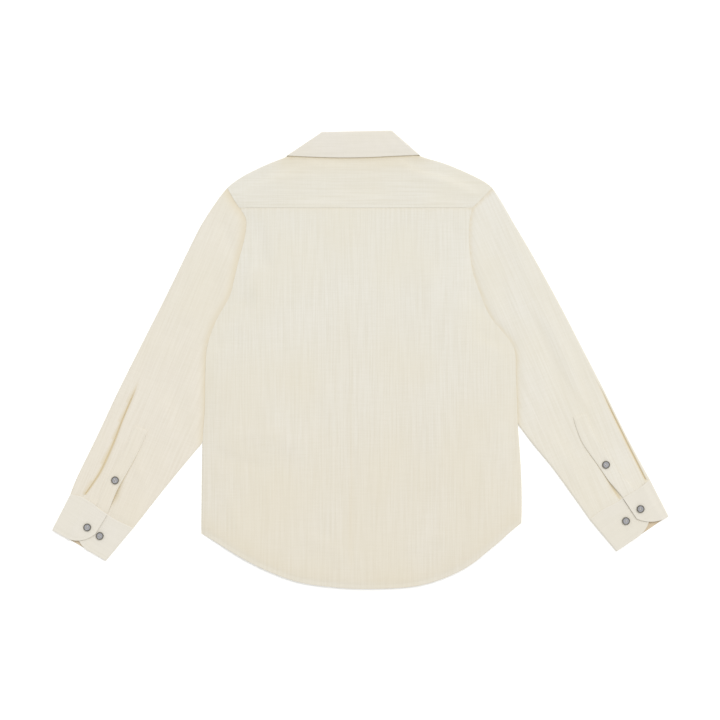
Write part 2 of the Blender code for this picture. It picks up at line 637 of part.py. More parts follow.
def build_cuff(side):
    """A strip folded at both its sides: the over lap, the layer below, and the under lap."""
    cuff = SLEEVES[side]["cuff"]
    edge = cuff["edge"]
    under_top = CUFF_UNDER_LOW + STIFF_CLOTH
    rows_out, rows_in = [], []

    def add(along, look, z, deep_from=0.0):
        across = along / edge
        out, inn = [], []
        for k in range(CUFF_ROWS + 1):
            x, y = cuff_point(cuff, across, k / CUFF_ROWS, deep_from)
            out.append((x, y, z))
            if look == 0:
                inset = STIFF_CLOTH / edge * (1 if across < 0.5 else -1)
                px, py = cuff_point(cuff, across + inset, k / CUFF_ROWS, deep_from)
                inn.append((px, py, z))
            else:
                inn.append((x, y, z - look * STIFF_CLOTH))
        rows_out.append(out)
        rows_in.append(inn)

    over = [mix(cuff["over_end"], 0, k / OVER_STEPS) for k in range(OVER_STEPS)]
    for along in [*over, CUFF_FOLD_IN]:
        add(along, 1, cuff_over_height(cuff, along),
            round_corner(along, cuff["over_from"], cuff["over_round"], 1))
    add(0, 0, cuff_over_height(cuff, 0) / 2)
    add(CUFF_FOLD_IN, -1, 0)
    for k in range(1, BELOW_STEPS):
        add(mix(0, edge, k / BELOW_STEPS), -1, 0)
    add(edge - CUFF_FOLD_IN, -1, 0)
    add(edge, 0, under_top / 2)
    under = [mix(edge, cuff["under_end"], k / UNDER_STEPS) for k in range(1, UNDER_STEPS + 1)]
    for along in [edge - CUFF_FOLD_IN, *under]:
        add(along, 1, under_top,
            round_corner(along, cuff["under_from"], cuff["under_round"], -1))
    make_wall("cuff_" + side, rows_out, rows_in, PALE_CREAM)


def sleeve_lines(side):
    """The sleeve's outline in parts, for its upper and its lower layer: both go from the
    shoulder down the outer fold, along the cuff seam and up the inner fold to the armhole."""
    sleeve = SLEEVES[side]
    sign = -1 if side == "left" else 1
    outer = cut_line(sleeve["outer"], FOLD_STEP)
    outer.insert(1, tuple(mix(a, b, FOLD_START / FOLD_STEP) for a, b in zip(*outer[:2])))
    seam = [seam_point(sleeve["cuff"], k / 10) for k in range(11)]
    beside_body = [p for p in SIDES[sign] if sleeve["crotch_y"] < p[1] < UNDERARM_Y + 0.004]
    beside_body = moved_in(beside_body, sign * BODY_GAP)
    inner = [*beside_body, *cut_line(sleeve["inner"], FOLD_STEP)]
    armholes = []
    for points in (armhole_and_side(sign), front_armhole(sign)):
        upper = [p for p in points if p[1] > beside_body[0][1] + 0.002]
        armholes.append(moved_in(upper, sign * SEAM)[1:])
    return outer, seam, inner, armholes


def strip_rows(side):
    """Plan points under the strip beside the slit: rows from its top end to the cuff, each
    with its outer edge, its middle and the slit."""
    sign = -1 if side == "left" else 1
    slit = Line(SLEEVES[side]["slit"])
    line = [slit.at(k / STRIP_ROWS) for k in range(STRIP_ROWS + 1)]
    across = [moved_in(line, sign * STRIP_WIDTH * share) for share in (1, 0.5)]
    rows = [list(row) for row in zip(*across, line)]
    cuff = SLEEVES[side]["cuff"]
    foot = cuff["over_end"] / cuff["edge"]
    width = STRIP_WIDTH / (cuff["seam_in"] - cuff["seam_out"])
    rows[-1] = [seam_point(cuff, foot - width * share, SEAM) for share in (1, 0.5, 0)]
    return rows


def sleeve_top(side, x, y, lines):
    """Upper face of the sleeve: level with the body at the armhole, thin beside the body."""
    outer, seam, inner, armholes = lines
    sleeve = SLEEVES[side]
    thick = mix(SLEEVE_THIN, SLEEVE_THICK, max(
        ease((sleeve["crotch_y"] - y) / 0.03), ease(distance_to((x, y), inner) / 0.022)))
    body = ease(min(distance_to((x, y), outer), distance_to((x, y), inner)) / 0.012)
    thick += fold_height(x, y) * body * ease(distance_to((x, y), seam) / 0.02)
    if distance_to((x, y), SLEEVES[side]["pleat"]) < 0.0002:
        thick -= PLEAT_DEPTH * ease((SLEEVES[side]["pleat"][0][1] - y) / 0.03)
    armhole = distance_to((x, y), armholes[0])
    return mix(SEAM_TOP, thick, ease(armhole / ARMHOLE_SLOPE))


def build_sleeve(side):
    """Two layers that share the points of their outer and inner folds, given a wall."""
    lines = sleeve_lines(side)
    outer, seam, inner, armholes = lines
    sign = -1 if side == "left" else 1
    fold = {(round(x, 6), round(y, 6)) for x, y in [*outer[1:], *inner]}
    strip = strip_rows(side)
    pleat = SLEEVES[side]["pleat"]
    columns = [list(column) for column in zip(*strip)]
    near_outer = moved_in(outer, -sign * FOLD_IN)[1:-1]
    near_inner = moved_in(inner, sign * FOLD_IN)[1:-1]
    guides = [near_outer, near_inner]
    upper_guides = [*guides, pleat, moved_in(pleat, PLEAT_HALF), moved_in(pleat, -PLEAT_HALF),
                    *columns]
    bm = bmesh.new()
    for armhole, layer_guides, is_upper in ((armholes[0], upper_guides, True),
                                            (armholes[1], guides, False)):
        inner_up = list(reversed(inner))
        outline = [*outer, *seam[1:-1], *inner_up, *reversed(armhole)]
        points, faces = cut_sheet(outline, layer_guides, 0.020 if is_upper else 0.034)
        verts = []
        for x, y in points:
            if (round(x, 6), round(y, 6)) in fold:
                z = FOLD_MID
            else:
                z = sleeve_top(side, x, y, lines) if is_upper else 0.0
            verts.append(bm.verts.new((x, y, z)))
        for face in faces:
            ring = [verts[k] for k in face]
            bm.faces.new(ring if is_upper else ring[::-1])
    bmesh.ops.remove_doubles(bm, verts=bm.verts[:], dist=0.00005)
    obj = add_object("sleeve_" + side, bm, CREAM)
    solidify = obj.modifiers.new("Cloth", "SOLIDIFY")
    solidify.thickness = CLOTH
    solidify.offset = -1


def build_strip(side):
    lines = sleeve_lines(side)
    lower = [[(x, y, sleeve_top(side, x, y, lines) + LAYER_GAP) for x, y in row]
             for row in strip_rows(side)]
    upper = [[(x, y, z + CLOTH) for x, y, z in row] for row in lower]
    make_wall("placket_" + side, upper, lower, CREAM)


def add_button(name, x, y, low, face_down=False):
    """A dished round button, turned about its own axis."""
    profile = [(0.0, 0.0), (0.62 * BUTTON_R, 0.0), (BUTTON_R, 0.35 * BUTTON_THICK),
               (BUTTON_R, 0.70 * BUTTON_THICK), (0.86 * BUTTON_R, BUTTON_THICK),
               (0.66 * BUTTON_R, BUTTON_THICK - BUTTON_DISH), (0.0, BUTTON_THICK - BUTTON_DISH)]
    bm = bmesh.new()
    verts = [bm.verts.new((r, 0, z)) for r, z in profile]
    edges = [bm.edges.new(pair) for pair in zip(verts, verts[1:])]
    bmesh.ops.spin(bm, geom=verts + edges, cent=(0, 0, 0), axis=(0, 0, 1),
                   angle=math.tau, steps=BUTTON_SIDES, use_duplicate=False)
    bmesh.ops.remove_doubles(bm, verts=bm.verts[:], dist=0.00005)
    if face_down:
        for vert in bm.verts:
            vert.co.z = BUTTON_THICK - vert.co.z
    obj = add_object(name, bm, SMOKED_PEARL, 0.35)
    obj.location = (x, y, low)
    return obj


def build_buttons():
    for side in SLEEVES:
        cuff = SLEEVES[side]["cuff"]
        (near, near_deep), (far, far_deep) = cuff["buttons"]
        for name, along, deep, top in (
                ("over", near, near_deep, cuff_over_height(cuff, near)),
                ("under", far, far_deep, CUFF_UNDER_LOW + STIFF_CLOTH)):
            add_button(f"button_cuff_{name}_{side}", *cuff_place(cuff, along, deep), top + SEAM)
        place = SLEEVES[side]["button"]
        near_rows = sorted(strip_rows(side), key=lambda row: math.dist(row[1], place))[:2]
        top = max(sleeve_top(side, x, y, sleeve_lines(side)) for row in near_rows for x, y in row)
        add_button(f"button_placket_{side}", *place, top + LAYER_GAP + CLOTH + SEAM)
    for k in range(FRONT_BUTTONS):
        add_button(f"button_front_{k + 1}", FRONT_X, FRONT_BUTTON_Y - k * FRONT_BUTTON_STEP, 0.0,
                   face_down=True)
    add_button("button_stand", FRONT_X, STAND_BUTTON_Y, 0.0, face_down=True)


def build_shirt():
    build_back()
    build_yoke()
    build_front("front_right", 1, FRONT_X + BAND_HALF + SEAM, BAND_LOW)
    build_front("front_left", -1, FRONT_X + LEFT_LAP, BAND_LOW + CLOTH + LAYER_GAP)
    build_band()
    build_collar()
    for side in SLEEVES:
        build_sleeve(side)
        build_cuff(side)
        build_strip(side)
    build_buttons()


for old in list(bpy.data.objects):
    bpy.data.objects.remove(old, do_unlink=True)
build_shirt()
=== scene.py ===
import math

import bmesh
import bpy
import numpy as np
from mathutils import Matrix, Vector
from mathutils.bvhtree import BVHTree
from mathutils.geometry import delaunay_2d_cdt


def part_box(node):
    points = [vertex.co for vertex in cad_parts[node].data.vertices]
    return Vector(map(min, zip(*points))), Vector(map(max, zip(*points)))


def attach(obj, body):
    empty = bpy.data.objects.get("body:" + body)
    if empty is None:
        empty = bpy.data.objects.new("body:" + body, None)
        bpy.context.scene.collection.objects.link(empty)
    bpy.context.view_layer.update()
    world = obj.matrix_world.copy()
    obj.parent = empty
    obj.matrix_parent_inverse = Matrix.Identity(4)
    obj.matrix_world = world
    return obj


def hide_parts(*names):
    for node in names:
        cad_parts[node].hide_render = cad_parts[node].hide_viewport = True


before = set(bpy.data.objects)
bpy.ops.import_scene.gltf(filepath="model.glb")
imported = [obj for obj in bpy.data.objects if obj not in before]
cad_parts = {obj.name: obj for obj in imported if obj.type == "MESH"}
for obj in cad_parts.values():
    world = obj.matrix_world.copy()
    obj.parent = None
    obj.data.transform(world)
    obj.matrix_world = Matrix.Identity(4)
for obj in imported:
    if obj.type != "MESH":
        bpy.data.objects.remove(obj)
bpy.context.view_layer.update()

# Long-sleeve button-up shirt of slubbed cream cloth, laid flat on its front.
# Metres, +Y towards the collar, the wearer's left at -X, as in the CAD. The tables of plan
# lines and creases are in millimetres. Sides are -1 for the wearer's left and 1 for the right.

bpy.ops.object.select_all(action="DESELECT")
surfaces = {}  # the outer face of each sheet, for the stitches to lie on
sheets = {}  # the sheets by name
sideNames = {-1: "left", 1: "right"}


# Plan lines, which are curves in x and y

def ease(share):
    share = np.clip(share, 0, 1)
    return share * share * (3 - 2 * share)


def mix(a, b, share):
    return a + (b - a) * share


def bell(off, width):  # 1 in the middle, less to both sides
    return np.exp(-(off / width) ** 2)


def rounded(distance, reach):  # 0 at an edge and 1 past its reach, as a quarter round
    return np.sqrt(1 - (1 - np.clip(distance / reach, 0, 1)) ** 2)


def smoothLine(points, step=0.006):  # from a table in millimetres to a curve of even steps
    points = np.array(points, float) / 1000
    ends = np.vstack([points[:1], points, points[-1:]])
    fine = []
    for a, b, c, d in zip(ends, ends[1:], ends[2:], ends[3:]):
        for t in np.arange(0, 1, 0.125):
            fine.append(0.5 * (2 * b + (c - a) * t + (2 * a - 5 * b + 4 * c - d) * t ** 2
                               + (3 * b - a - 3 * c + d) * t ** 3))
    fine = np.array([*fine, points[-1]])
    runs = np.concatenate([[0], np.cumsum(np.hypot(*np.diff(fine[:, :2], axis=0).T))])
    at = np.linspace(0, runs[-1], max(1, round(runs[-1] / step)) + 1)
    return np.stack([np.interp(at, runs, column) for column in fine.T], 1)


def movedIn(line, distance):  # to the left-hand side, as the line runs
    run = np.vstack([line[1:], line[-1:]]) - np.vstack([line[:1], line[:-1]])
    run /= np.hypot(*run.T)[:, None]
    return line + np.stack([-run[:, 1], run[:, 0]], 1) * distance


def nearLine(xy, line):  # distance to a line, place along it, and the offset to its left
    best = np.full(len(xy), 9.0)
    along = np.zeros(len(xy))
    offset = np.zeros(len(xy))
    start = 0.0
    for a, b in zip(line, line[1:]):
        run = b - a
        length = np.hypot(*run)
        if length < 1e-9:
            continue
        t = np.clip((xy - a) @ run / length ** 2, 0, 1)
        gap = xy - a - t[:, None] * run
        distance = np.hypot(*gap.T)
        closer = distance < best
        best = np.where(closer, distance, best)
        along = np.where(closer, start + t * length, along)
        side = np.sign(run[0] * gap[:, 1] - run[1] * gap[:, 0])
        offset = np.where(closer, side * distance, offset)
        start += length
    return best, along, offset


def distanceTo(xy, line):
    return nearLine(xy, line)[0]


def insideOf(xy, outline):
    within = np.zeros(len(xy), bool)
    for (x0, y0), (x1, y1) in zip(outline, np.roll(outline, -1, 0)):
        crosses = (y0 > xy[:, 1]) != (y1 > xy[:, 1])
        with np.errstate(divide="ignore", invalid="ignore"):
            cut = x0 + (xy[:, 1] - y0) / (y1 - y0) * (x1 - x0)
        within ^= crosses & (xy[:, 0] < cut)
    return within


# Cloth surfaces: heights over the plan, cut to an outline

def creaseHeight(xy, creases):
    total = np.zeros(len(xy))
    for x0, y0, x1, y1, bow, half, height in np.array(creases, float) / 1000:
        run = np.array([x1 - x0, y1 - y0])
        length = np.hypot(*run)
        gap = xy - (x0, y0)
        along = gap @ run / length ** 2
        off = (run[0] * gap[:, 1] - run[1] * gap[:, 0]) / length
        off = off - bow * 4 * along * (1 - along)
        steep = np.where(off > 0, 0.7 * half, half)  # one flank is steeper
        ends = ease((along + 0.12) / 0.4) * ease((1.12 - along) / 0.45)
        total += height * ends * bell(off, steep)
    return total


def pucker(xy, line, reach, size):  # the small waves that stitching draws into cloth
    distance, along, _ = nearLine(xy, line)
    wave = np.sin(along * 560 + 1.7 * np.sin(along * 133)) + 0.6 * np.sin(along * 311 + 2)
    return size * wave * bell(distance, reach)


def clothName(node):  # front_left becomes frontLeftCloth
    first, *rest = node.split("_")
    return first + "".join(word.title() for word in rest) + "Cloth"


def addObject(name, data):
    thing = bpy.data.objects.new(name, data)
    bpy.context.scene.collection.objects.link(thing)
    return thing


def pickOnly(piece):
    bpy.ops.object.select_all(action="DESELECT")
    bpy.context.view_layer.objects.active = piece
    piece.select_set(True)


def finishSheet(node, bm, thickness, lined=False):
    name = clothName(node)
    mesh = bpy.data.meshes.new(name)
    bm.to_mesh(mesh)
    surfaces[name] = BVHTree.FromBMesh(bm)
    bm.free()
    for _ in range(2 if lined else 0):  # empty places for the outside's material and the inside's painted shade material
        mesh.materials.append(None)
    piece = addObject(name, mesh)
    solid = piece.modifiers.new("Cloth", "SOLIDIFY")
    solid.thickness = thickness
    solid.offset = -1
    solid.material_offset = 1 if lined else 0  # the inside gets a material of its own, painted in shade
    pickOnly(piece)
    bpy.ops.object.modifier_apply(modifier="Cloth")
    bpy.ops.object.shade_smooth_by_angle(angle=math.radians(50))
    piece.select_set(False)
    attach(piece, "root")
    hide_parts(node)
    sheets[name] = piece
    return piece


def cutSheet(outline, guides, spacing):  # plan triangles that fill an outline
    outline = np.asarray(outline)
    low, high = outline.min(0), outline.max(0)
    rows = np.arange(low[1], high[1], spacing * 0.87)
    columns = np.arange(low[0], high[0], spacing)
    field = np.array([(x + 0.5 * spacing * (i % 2), y) for i, y in enumerate(rows)
                      for x in columns])
    field = field[insideOf(field, outline)]
    for line in [np.vstack([outline, outline[:1]]), *guides]:
        field = field[distanceTo(field, line) > 0.5 * spacing]
    points = [*outline]
    edges = []
    for guide in guides:
        edges += [(len(points) + k, len(points) + k + 1) for k in range(len(guide) - 1)]
        points += [*guide]
    points += [*field]
    found = delaunay_2d_cdt([Vector(p) * 1000 for p in points], edges,
                            [list(range(len(outline)))], 1, 1e-5)
    return np.array([tuple(v) for v in found[0]]) / 1000, found[2]


def addLayer(bm, points, faces, heights, deep=None, faceUp=True):
    # the "deep" layer holds each corner's painted shade, from 0 to 1
    shade = bm.verts.layers.float.get("deep") or bm.verts.layers.float.new("deep")
    verts = [bm.verts.new((x, y, z)) for (x, y), z in zip(points, heights)]
    if deep is not None:
        for vert, value in zip(verts, deep):
            vert[shade] = float(value)
    for face in faces:
        a, b, c = (points[k] for k in face[:3])
        turnsLeft = (b[0] - a[0]) * (c[1] - a[1]) > (b[1] - a[1]) * (c[0] - a[0])
        ring = [verts[k] for k in face]
        bm.faces.new(ring if turnsLeft == faceUp else ring[::-1])


def planSheet(node, outline, guides, spacing, heights, paintedShades=None, faceUp=True):
    points, faces = cutSheet(outline, guides, spacing)
    bm = bmesh.new()
    addLayer(bm, points, faces, heights(points), paintedShades and paintedShades(points), faceUp)
    finishSheet(node, bm, body["clothThickness"])


def gridSheet(node, rows, thickness, upRow, lined=False):  # upRow is a row that looks up
    bm = bmesh.new()
    bm.verts.layers.float.new("deep")
    grid = [[bm.verts.new(p) for p in row] for row in rows]
    for one, two in zip(grid, grid[1:]):
        for k in range(len(one) - 1):
            bm.faces.new((one[k], two[k], two[k + 1], one[k + 1]))
    bm.normal_update()
    bm.faces.ensure_lookup_table()
    if bm.faces[upRow * (len(rows[0]) - 1) + len(rows[0]) // 2].normal.z < 0:
        bmesh.ops.reverse_faces(bm, faces=bm.faces[:])
    return finishSheet(node, bm, thickness, lined)


# The body's plan and its creases

body = {
    "clothThickness": 0.0005,  # the wall that shows; the CAD wall is thicker
    "edgeHeight": 0.0023,  # the back's top face along its seams
    "rise": 0.0037,  # how much higher the middle of the back lies
    "slope": 0.110,
    "hemWidth": 0.006,
    "tuck": 0.0025,  # how far the sleeve goes under the body's edge
    "spacing": 0.0048,
    "underarmY": 0.020,
    "yokeY": 0.2275,
    "sideDrop": 0.0008,  # how far the back comes down at its free edges
    "edgeRound": 0.0024,
    "hemDrop": 0.0009,
    "yokeStitch": 0.0045,  # how far its rows of stitches lie from the yoke's seam
    "armStitch": 0.005,
    "stitchDent": 0.00016,
    "hemPucker": 0.00009,
    "seamPucker": 0.00006,
    "crotchY": {-1: -0.118, 1: -0.092},
    "frontX": -0.005,
}


def bothSides(left, right):
    return {-1: smoothLine(left), 1: smoothLine(right)}


shoulderLines = bothSides(
    [(-199.5, 257.5), (-189, 266.5), (-167, 280), (-137.5, 293.5), (-109.5, 304.6), (-78.5, 321.5)],
    [(197.5, 257.5), (186.5, 266.5), (160, 280), (127, 293.5), (89, 305.2), (65, 319.5)])
neckBackLine = smoothLine([
    (-78.5, 321.5), (-60, 316), (-34, 312.5), (-5, 311.5), (24, 312.5), (48, 314.5), (65, 319.5)])
neckLines = bothSides(
    [(-78.5, 321.5), (-73.5, 290), (-52, 259), (-28, 245), (-5, 241)],
    [(65, 319.5), (62, 290), (41, 259), (18, 245), (-5, 241)])
yokeLine = smoothLine([(-181.8, 228), (-85, 227.5), (0, 227.5), (85, 227.5), (168, 228)])
armLines = bothSides(
    [(-199.5, 257.5), (-190.5, 241.5), (-181.8, 228)],
    [(197.5, 257.5), (182.5, 242), (168, 228)])
sideLines = bothSides(
    [(-181.8, 228), (-174.5, 218), (-170.9, 208), (-171.9, 192), (-175.5, 174), (-183, 146.5),
     (-189.5, 119.5), (-196.5, 94), (-216, 59), (-229.5, 20), (-232.5, -23), (-233, -70),
     (-235.5, -105.5), (-237, -132.5), (-238, -213.5), (-238.5, -260.5)],
    [(168, 228), (164, 210), (162.5, 180), (165, 151.5), (169.5, 127.5), (179.5, 99.5), (195, 64),
     (229, 20), (233, -23), (234.5, -60), (236.5, -102.5), (240.5, -160), (242, -206), (241.5, -245)])
hemLine = smoothLine([
    (-238.5, -260.5), (-216.5, -273.5), (-192.5, -288.5), (-166, -303.5), (-134.5, -318.5),
    (-91.5, -333.5), (-39, -341), (7, -343.3), (69, -341), (107.5, -333.5), (145.5, -318.5),
    (170.5, -303.5), (189, -288.5), (207.5, -273.5), (224, -258.5), (241.5, -245)])

bodyLines = {side: np.vstack([armLines[side], sideLines[side][1:]]) for side in (-1, 1)}
yokeTopLine = np.vstack([shoulderLines[-1], neckBackLine[1:], shoulderLines[1][::-1][1:]])
collarEdge = smoothLine([
    (-110.8, 305.5), (-80, 304), (-48, 302.9), (-18, 302.6), (15, 303.2), (48, 304.8), (89.3, 306.6)])

# Main creases, uneven in length, depth and spacing: from x, y, to x, y, how far it bows to the
# left, half width, height (a trough's is negative)
backCreases = [
    (-215, 52, -150, 95, 6, 20, -1.74), (-226, 20, -178, 40, -4, 12, -1.09),
    (-155, 205, -135, 130, -6, 18, -1.3), (-172, 150, -150, 60, 5, 14, 0.75),
    (205, 60, 150, 110, -5, 20, -1.52), (222, 25, 170, 45, 4, 13, -0.99),
    (145, 210, 120, 130, 8, 20, -1.3), (160, 165, 150, 70, -4, 12, 0.65),
    (-200, -115, -70, -130, 8, 22, 1.3), (-225, -135, -120, -165, -5, 13, -0.75),
    (215, -130, 175, -250, -8, 20, 1.3), (228, -90, 205, -190, 4, 11, -0.65),
    (-60, 190, -48, 60, 4, 26, -0.75), (70, 200, 62, 20, -7, 24, -0.65),
    (-14, 90, -13, -270, 0, 7, -0.48), (30, -60, 26, -300, 3, 15, 0.55),
    (-34, -20, -40, -300, -4, 15, 0.48), (-130, -60, -150, -250, 6, 17, 0.65),
    (110, -30, 128, -230, -6, 19, 0.61), (-95, -260, -20, -300, 5, 12, 0.65),
    (60, -290, 140, -262, 4, 11, 0.65), (-205, -190, -180, -262, 3, 10, 0.55)]
yokeCreases = [
    (-150, 262, -60, 275, 4, 10, 0.59), (-40, 262, 60, 258, -5, 12, -0.59),
    (70, 280, 150, 262, 4, 11, 0.68), (-110, 240, -30, 243, 3, 7, -0.39),
    (95, 244, 165, 240, 2, 6, -0.39)]


def bodyRise(xy):
    near = np.minimum(distanceTo(xy, bodyLines[-1]), distanceTo(xy, bodyLines[1]))
    return body["rise"] * (1 - (1 - np.minimum(1, near / body["slope"])) ** 3)


def wingLift(xy):  # room for the collar's wings under the fronts
    reach = np.hypot((xy[:, 0] + 0.008) / 0.108, (xy[:, 1] - 0.300) / 0.090)
    return 0.0020 * (1 - ease((reach - 1.12) / 0.40))


def sideDrop(xy):  # the back comes down to the front at its side edges, below the sleeves
    drop = np.zeros(len(xy))
    for side in (-1, 1):
        free = 1 - ease((xy[:, 1] - body["crotchY"][side]) / 0.015)
        free *= side * xy[:, 0] > 0
        drop += free * (1 - rounded(distanceTo(xy, sideLines[side]), body["edgeRound"]))
    return drop


def backTop(xy):
    rise = bodyRise(xy)
    z = body["edgeHeight"] + np.hypot(rise, wingLift(xy))
    z += creaseHeight(xy, backCreases) * np.minimum(1, 2 * rise / body["rise"])
    z -= body["sideDrop"] * sideDrop(xy)
    hemGap = distanceTo(xy, hemLine)
    z -= body["hemDrop"] * (1 - ease(hemGap / 0.014)) + 0.0003 * (1 - rounded(hemGap, 0.001))
    z -= body["stitchDent"] * bell(hemGap - body["hemWidth"], 0.0007)
    z += pucker(xy, hemLine, 0.006, body["hemPucker"])
    z += pucker(xy, yokeLine, 0.008, body["seamPucker"])
    return z - 0.0004 * ease((xy[:, 1] - body["yokeY"] + 0.0032) / 0.0030)  # under the yoke


def yokeTop(xy):  # low along the shoulders and the neck, where the collar lies on it
    share = ease((distanceTo(xy, yokeTopLine) - 0.012) / 0.014)
    z = body["edgeHeight"] + np.hypot(bodyRise(xy) * share, wingLift(xy))
    z += creaseHeight(xy, yokeCreases) * share + 0.0002
    for side in (-1, 1):
        fall = body["sideDrop"] * ease(distanceTo(xy, armLines[side]) / 0.012)
        z -= fall * (1 - rounded(distanceTo(xy, shoulderLines[side]), body["edgeRound"]))
        z += pucker(xy, armLines[side], 0.006, body["seamPucker"])
    seam = distanceTo(xy, yokeLine)
    return z - 0.0002 * (1 - rounded(seam, 0.0008)) - 0.00012 * bell(seam - body["yokeStitch"], 0.0006)


def backPaintedShade(xy):  # painted shade on the back: along the middle where the front band's edge shows through, under the yoke's edge, and just above the hem's band
    centre = 0.16 * bell(xy[:, 0] + 0.0136, 0.0013) * ease((0.21 - xy[:, 1]) / 0.10)
    underYoke = 0.22 * np.exp(-(0.2280 - xy[:, 1]) / 0.0032)
    hemGap = distanceTo(xy, hemLine)
    aboveHem = 0.16 * ease((hemGap - body["hemWidth"]) / 0.002) * (1 - ease(hemGap / 0.045))
    return np.clip(np.maximum(centre, np.maximum(underYoke, aboveHem)), 0, 1)


def yokePaintedShade(xy):
    # painted shadow of the collar: darkest at its edge, fading over the yoke
    below = distanceTo(xy, collarEdge)
    return 0.62 * np.exp(-below / 0.0022) + 0.26 * bell(below, 0.024)


def edgeGuides(line, distances, first=1, last=1):  # lines beside an edge, for finer triangles
    return [movedIn(line, d)[first:len(line) - last] for d in distances]


def buildBack():
    tucked = yokeLine + (0, 0.003)
    outline = np.vstack([tucked, sideLines[1][1:], hemLine[::-1][1:-1], sideLines[-1][::-1][:-1]])
    guides = [*edgeGuides(sideLines[-1], (0.0004, 0.0012, 0.0024)),
              *edgeGuides(sideLines[1], (-0.0004, -0.0012, -0.0024)),
              *edgeGuides(hemLine, (0.0004, 0.0012, 0.0052, 0.006, 0.0068), 2, 2),
              *edgeGuides(yokeLine, (-0.0003, -0.0016, -0.0034), 2, 2),
              *[np.array([(x, 0.21), (x, -0.32)]) for x in (-0.0154, -0.0136, -0.0118)]]
    planSheet("back", outline, guides, body["spacing"], backTop, backPaintedShade)


def buildYoke():
    outline = np.vstack([shoulderLines[-1][:-1], neckBackLine - (0, 0.001),
                         shoulderLines[1][::-1][1:], armLines[1][1:-1], yokeLine[::-1],
                         armLines[-1][::-1][1:-1]])
    guides = [*edgeGuides(shoulderLines[-1], (-0.0004, -0.0012, -0.0024), 1, 2),
              *edgeGuides(shoulderLines[1], (0.0004, 0.0012, 0.0024), 1, 2),
              *edgeGuides(yokeLine, (0.0003, 0.0008, 0.0039, 0.0045, 0.0051), 2, 2),
              *edgeGuides(collarEdge, (0.0005, -0.0005, -0.0014, -0.0026, -0.0045), 2, 2)]
    planSheet("yoke", outline, guides, body["spacing"], yokeTop, yokePaintedShade)


# Fronts and button band, underneath

fronts = {
    "bandHalf": 0.017,
    "bandLow": 0.0023,  # the band lies on its buttons
    "bandSlope": 0.034,
    "leftLap": 0.013,
    "lapGap": 0.0013,  # the left front lies this much above the band
    "shorter": 0.006,  # the front's hem is this much shorter than the back's
    "armholeIn": 0.006,
    "edgeLift": 0.0005,  # how far the free edges turn up towards the back
    "stitchDent": 0.00025,
    "spacing": 0.0062,
}
frontCreases = [
    (-190, 60, -120, 110, 6, 16, 0.9), (-205, 15, -140, 30, -5, 11, 0.6),
    (-165, 180, -140, 90, 5, 13, 0.7), (-120, 215, -95, 130, -4, 11, 0.5),
    (-180, -60, -80, -85, 7, 15, 0.7), (-200, -150, -110, -140, -6, 12, 0.6),
    (-70, 60, -60, -90, 4, 14, 0.5), (-120, -190, -90, -290, 4, 11, 0.5),
    (185, 70, 125, 120, -6, 15, 0.9), (200, 20, 140, 20, 4, 12, 0.6), (160, 190, 130, 100, -5, 13, 0.7),
    (95, 200, 85, 60, 6, 12, 0.5), (190, -80, 90, -70, 6, 14, 0.7), (205, -170, 130, -190, -5, 12, 0.6),
    (70, 20, 75, -150, -5, 15, 0.5), (120, -210, 60, -280, 5, 11, 0.5)]


def frontArmhole(side):  # cut deeper than the back's
    line = bodyLines[side].copy()
    span = line[0][1] - body["underarmY"]
    share = np.minimum(1, (line[0][1] - line[:, 1]) / span)
    line[:, 0] -= side * fronts["armholeIn"] * np.sin(np.pi * share)
    return line


def heightOn(line, x):  # the y of a plan line at an x
    order = np.argsort(line[:, 0])
    return float(np.interp(x, line[order, 0], line[order, 1]))


def frontHemY(x):
    return heightOn(hemLine, x) + fronts["shorter"]


def frontNeckY(x):
    return heightOn(np.vstack([neckLines[-1], neckLines[1]]), x) - 0.0003


def buildFront(side, edgeX, bandHeight):
    centre = body["frontX"]
    neck = movedIn(neckLines[side], side * 0.0003)
    if side * (edgeX - centre) < 0:
        neck = np.vstack([neck, movedIn(neckLines[-side], -side * 0.0003)[::-1]])
    neck = neck[side * (neck[:, 0] - edgeX) > 0.003]
    corner = hemLine[0] if side < 0 else hemLine[-1]
    hem = hemLine[1:-1].copy()
    hem[:, 1] += fronts["shorter"] * ease(np.abs(hem[:, 0] - corner[0]) / 0.10)
    hem = hem[side * (hem[:, 0] - edgeX) > 0.003]
    if side < 0:
        hem = hem[::-1]
    ys = np.linspace(frontHemY(edgeX), frontNeckY(edgeX), 100)
    edge = np.stack([np.full(len(ys), edgeX), ys], 1)
    arm = frontArmhole(side)
    outline = np.vstack([shoulderLines[side][:-1][::-1], arm[1:], hem[::-1], edge, neck[::-1][:-1]])
    guides = [*edgeGuides(arm, [-side * d for d in (0.0005, 0.0014, 0.0026)], 2, 2),
              *edgeGuides(shoulderLines[side], [side * d for d in (0.0005, 0.0014, 0.0026)], 2, 2),
              *edgeGuides(hem, [side * d for d in (-0.0052, -0.006, -0.0068)], 2, 2)]

    def frontUnderside(xy):
        off = np.abs(xy[:, 0] - centre) - fronts["bandHalf"] - 0.002
        z = np.maximum(wingLift(xy), bandHeight * (1 - ease(off / fronts["bandSlope"])))
        inner = np.minimum(1, 2 * bodyRise(xy) / body["rise"]) * ease(off / 0.02)
        z += creaseHeight(xy, frontCreases) * inner
        z += fronts["edgeLift"] * sideDrop(xy)
        rise = fronts["edgeLift"] * ease(distanceTo(xy, armLines[side]) / 0.012)
        z += rise * (1 - rounded(distanceTo(xy, shoulderLines[side]), 0.0026))
        z += fronts["stitchDent"] * bell(distanceTo(xy, hem) - body["hemWidth"], 0.0007)
        if side > 0:  # its edge goes behind the band
            z += 0.0006 * ease((centre + fronts["bandHalf"] + 0.0006 - xy[:, 0]) / 0.0004)
        return z

    planSheet("front_" + sideNames[side], outline, guides, fronts["spacing"], frontUnderside,
              faceUp=False)


